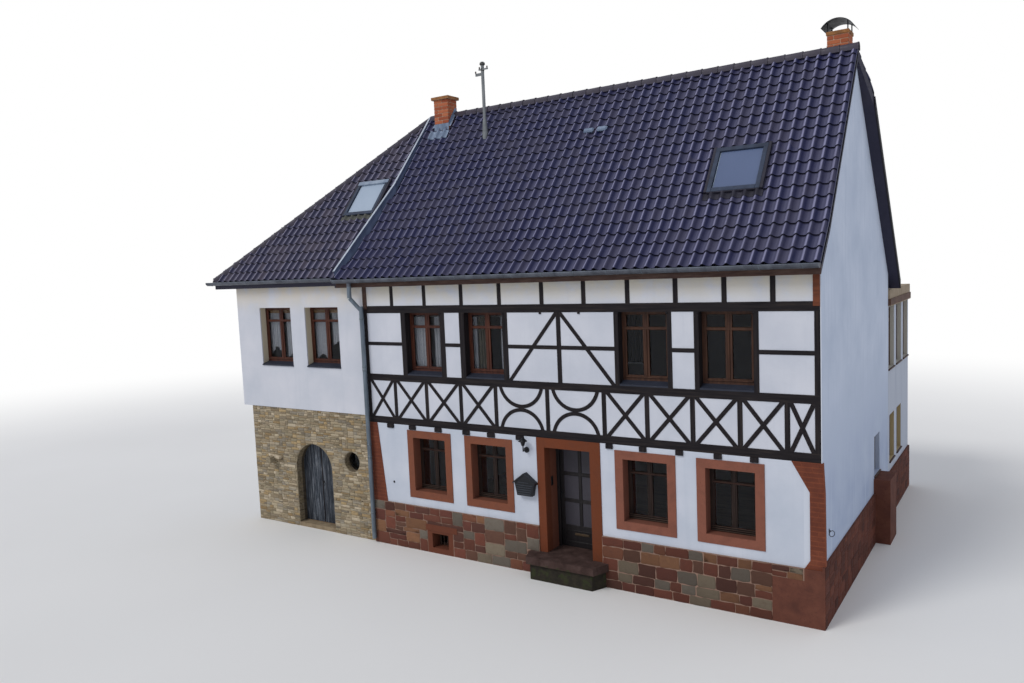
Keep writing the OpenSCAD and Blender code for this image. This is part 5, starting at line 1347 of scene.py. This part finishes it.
def curtains():
    """Curtains that hang behind the windows, each one sheet of cloth."""
    rods = Bag()
    for xs, half, (head, y), wall in ((UPPER_X[:2], 460, FRONT_ROW, 240), (SIDE_X, 530, SIDE_ROW, 225),
                                      ((1500, 3800), 480, REAR_ROW, None)):
        z = head + 2
        ya, yb = (wall, y + 6) if wall else (y - 6, 6322)
        for x in xs:
            tube(rods, [(x - half, y, z), (x + half, y, z)], 9, 8)
            for s in (-1, 1):
                block(rods, x + s * (half - 12) - 6, ya, z - 8, 12, yb - ya, 16)
    rod = rods.make("curtain_rods", "steel", smooth=True)
    cols, rows, fold = 60, 12, 20.0
    for number, (xa, xb, za, zb, y, look, drape) in enumerate(CURTAINS, 1):
        waves = max(3, round((xb - xa) / 75))
        shares = [i / cols for i in range(cols + 1)]
        line = [(xa + (xb - xa) * s, y + fold * sin(2 * pi * waves * s)) for s in shares]
        verts = []
        for t in (j / rows for j in range(rows + 1)):
            for s, (px, py) in zip(shares, line):
                hem = za + drape * (1 - cos(pi * 2 * s)) / 2 * (1 - t)
                verts.append((px, py, hem + (zb - hem) * t))
        bag = Bag()
        bag.add(verts, grid(rows + 1, cols + 1))
        ob = bag.make("curtain_%d" % number, look, smooth=True)


# Small things
def fittings():
    # Ribs and slot of the letter box
    bag = Bag()
    bx, bz = 4233.7, 1615
    for k in range(5):
        z = bz + 26 + k * 46
        half = 176 + (z - bz) * 59 / 270 - 26
        block(bag, bx - half, -124, z, 2 * half, 15, 16, chamfer=4)
    block(bag, bx - 120, -147, bz + 276, 240, 8, 12, chamfer=3)
    tube(bag, [(bx, -110, bz + 14), (bx, -118, bz + 14)], 9, 12)
    bag.make("letter_box_ribs", "rib_sheet", slot="dark_sheet")
    # Hat of the lamp
    bag = Bag()
    tube(bag, [(4264.8, -140, z) for z in (2750, 2785, 2815)], (92, 60, 20), 20)
    bag.make("lamp_hat", "iron", slot="dark_sheet")
    # Mast head: cap, collar and insulators
    mx, my = MAST
    mz = roof_top(my)
    bag = Bag()
    tube(bag, [(mx, my, mz + dz) for dz in (1640, 1662, 1700, 1716)], (46, 66, 60, 22), 18)
    tube(bag, [(mx, my, mz + 1512), (mx, my, mz + 1572)], 44, 16)
    bag.make("mast_cap", "steel_dark", slot="grey_steel")
    bag = Bag()
    for x, z in ((mx - 70, 1560), (mx + 146, 1560), (mx - 180, 1476)):
        tube(bag, [(x, my - 24, mz + z + dz) for dz in (0, 16, 30, 46)], (12, 20, 14, 18), 12)
    bag.make("mast_insulators", "insulator", slot="grey_steel")
    # Two pale vent tiles
    bag = Bag()
    u, a, n = (Vector(v) for v in MAIN_LIGHT[1:])
    for x in (4800, 5120):
        c = Vector((x, 2195, roof_top(2195)))

        def on_roof(p, q, r):
            return c + a * p + u * q + n * r

        frame_block(bag, on_roof, (-120, 120), (-55, 60), (50, 112), c=26)
        for k in range(4):
            frame_block(bag, on_roof, (-96 + k * 52, -60 + k * 52), (-61, -53), (64, 92), c=2)
    bag.make("vent_tiles", "zinc_blue", slot="zinc_sheet")
    # Pegs under the wall plate, and a small vent
    bag = Bag()
    for x in (1210, 2190, 2817, 3797, 4700, 5560, 6373, 7353, 7928, 8908):
        block(bag, x - 26, -14, PLATE_Z - 34, 52, 22, 34, chamfer=6)
    bag.make("frame_pegs", "timber_z", slot="dark_timber")
    bag = Bag()
    tube(bag, [(643, 2, 1484), (643, -8, 1484), (643, -12, 1484)], (26, 26, 20), 14)
    bag.make("small_vent", "iron", slot="dark_sheet")
    # Tie ring on the gable
    bag = Bag()
    block(bag, 10000, 440, 1535, 8, 36, 60, chamfer=3)
    tube(bag, [(10006, 458, 1565), (10040, 458, 1560)], 8, 8)
    tube(bag, [(10048 + 36 * sin(t), 458 + 34 * sin(t), 1515 + 52 * cos(t)) for t in TURN], 6, 8,
         caps=False)
    bag.make("tie_ring", "iron", slot="dark_sheet")


for build in (roofs, ridges, stonework, pilaster_bricks, chimney_bricks, joint_zinc, chimney_zinc,
              mast_sleeve, gutter_parts, roof_windows, casements, front_door, arched_doors, curtains, fittings):
    build()


# Stage, light and camera
def stage():
    me = bpy.data.meshes.new("floor")
    r = 300.0
    me.from_pydata([(-r, -r, 0), (r, -r, 0), (r, r, 0), (-r, r, 0)], [], [(0, 1, 2, 3)])
    floor = add_object("floor", me)
    p = Paint("floor_pale", rough=0.95)
    p.color(p.mix(p.noise(0.15, 2), "e4e4e2", "ececea"))
    out = next(n for n in p.tree.nodes if n.type == "OUTPUT_MATERIAL")
    far = p.node("VectorMath", "Value", {0: p.coords}, operation="LENGTH")
    fac = p.times(p.span(far, 16.0, 42.0), p.node("LightPath", "Is Camera Ray", {}))
    p.put(out.inputs["Surface"], p.node("MixShader", 0, {0: fac, 1: p.bsdf.outputs[0],
                                                         2: p.node("Emission", 0, {})}))
    me.materials.append(p.mat)

    world = bpy.data.worlds.new("studio")
    bpy.context.scene.world = world
    world.use_nodes = True
    t = world.node_tree
    bg = t.nodes["Background"]
    bg.inputs["Color"].default_value = rgb("f2f5ff")
    bg.inputs["Strength"].default_value = 0.62
    white = t.nodes.new("ShaderNodeBackground")
    white.inputs["Color"].default_value = (1, 1, 1, 1)
    white.inputs["Strength"].default_value = 1.0
    path = t.nodes.new("ShaderNodeLightPath")
    mix = t.nodes.new("ShaderNodeMixShader")
    t.links.new(path.outputs["Is Camera Ray"], mix.inputs[0])
    t.links.new(bg.outputs[0], mix.inputs[1])
    t.links.new(white.outputs[0], mix.inputs[2])
    t.links.new(mix.outputs[0], t.nodes["World Output"].inputs["Surface"])

    sun = bpy.data.lights.new("key", "SUN")
    sun.energy, sun.angle, sun.color = 1.15, radians(20), (1.0, 0.98, 0.95)
    direction = Vector((-0.42, -0.85, 0.95))
    add_object("key", sun).rotation_euler = direction.to_track_quat("Z", "Y").to_euler()


def camera():
    yaw, pitch, roll = (radians(a) for a in (33.341, -5.3235, -2.4460))
    fw = Vector((-sin(yaw) * cos(pitch), cos(yaw) * cos(pitch), sin(pitch)))
    r0 = Vector((cos(yaw), sin(yaw), 0))
    u0 = r0.cross(fw)
    r = r0 * cos(roll) + u0 * sin(roll)
    u = -r0 * sin(roll) + u0 * cos(roll)
    cam = bpy.data.cameras.new("camera")
    cam.lens, cam.sensor_width, cam.clip_end = 28.70, 36.0, 500.0
    ob = add_object("camera", cam)
    ob.matrix_world = Matrix(((r.x, u.x, -fw.x, 13.037), (r.y, u.y, -fw.y, -13.711),
                              (r.z, u.z, -fw.z, 6.280), (0, 0, 0, 1)))
    bpy.context.scene.camera = ob


stage()
camera()
bpy.context.scene.view_settings.view_transform = "Standard"
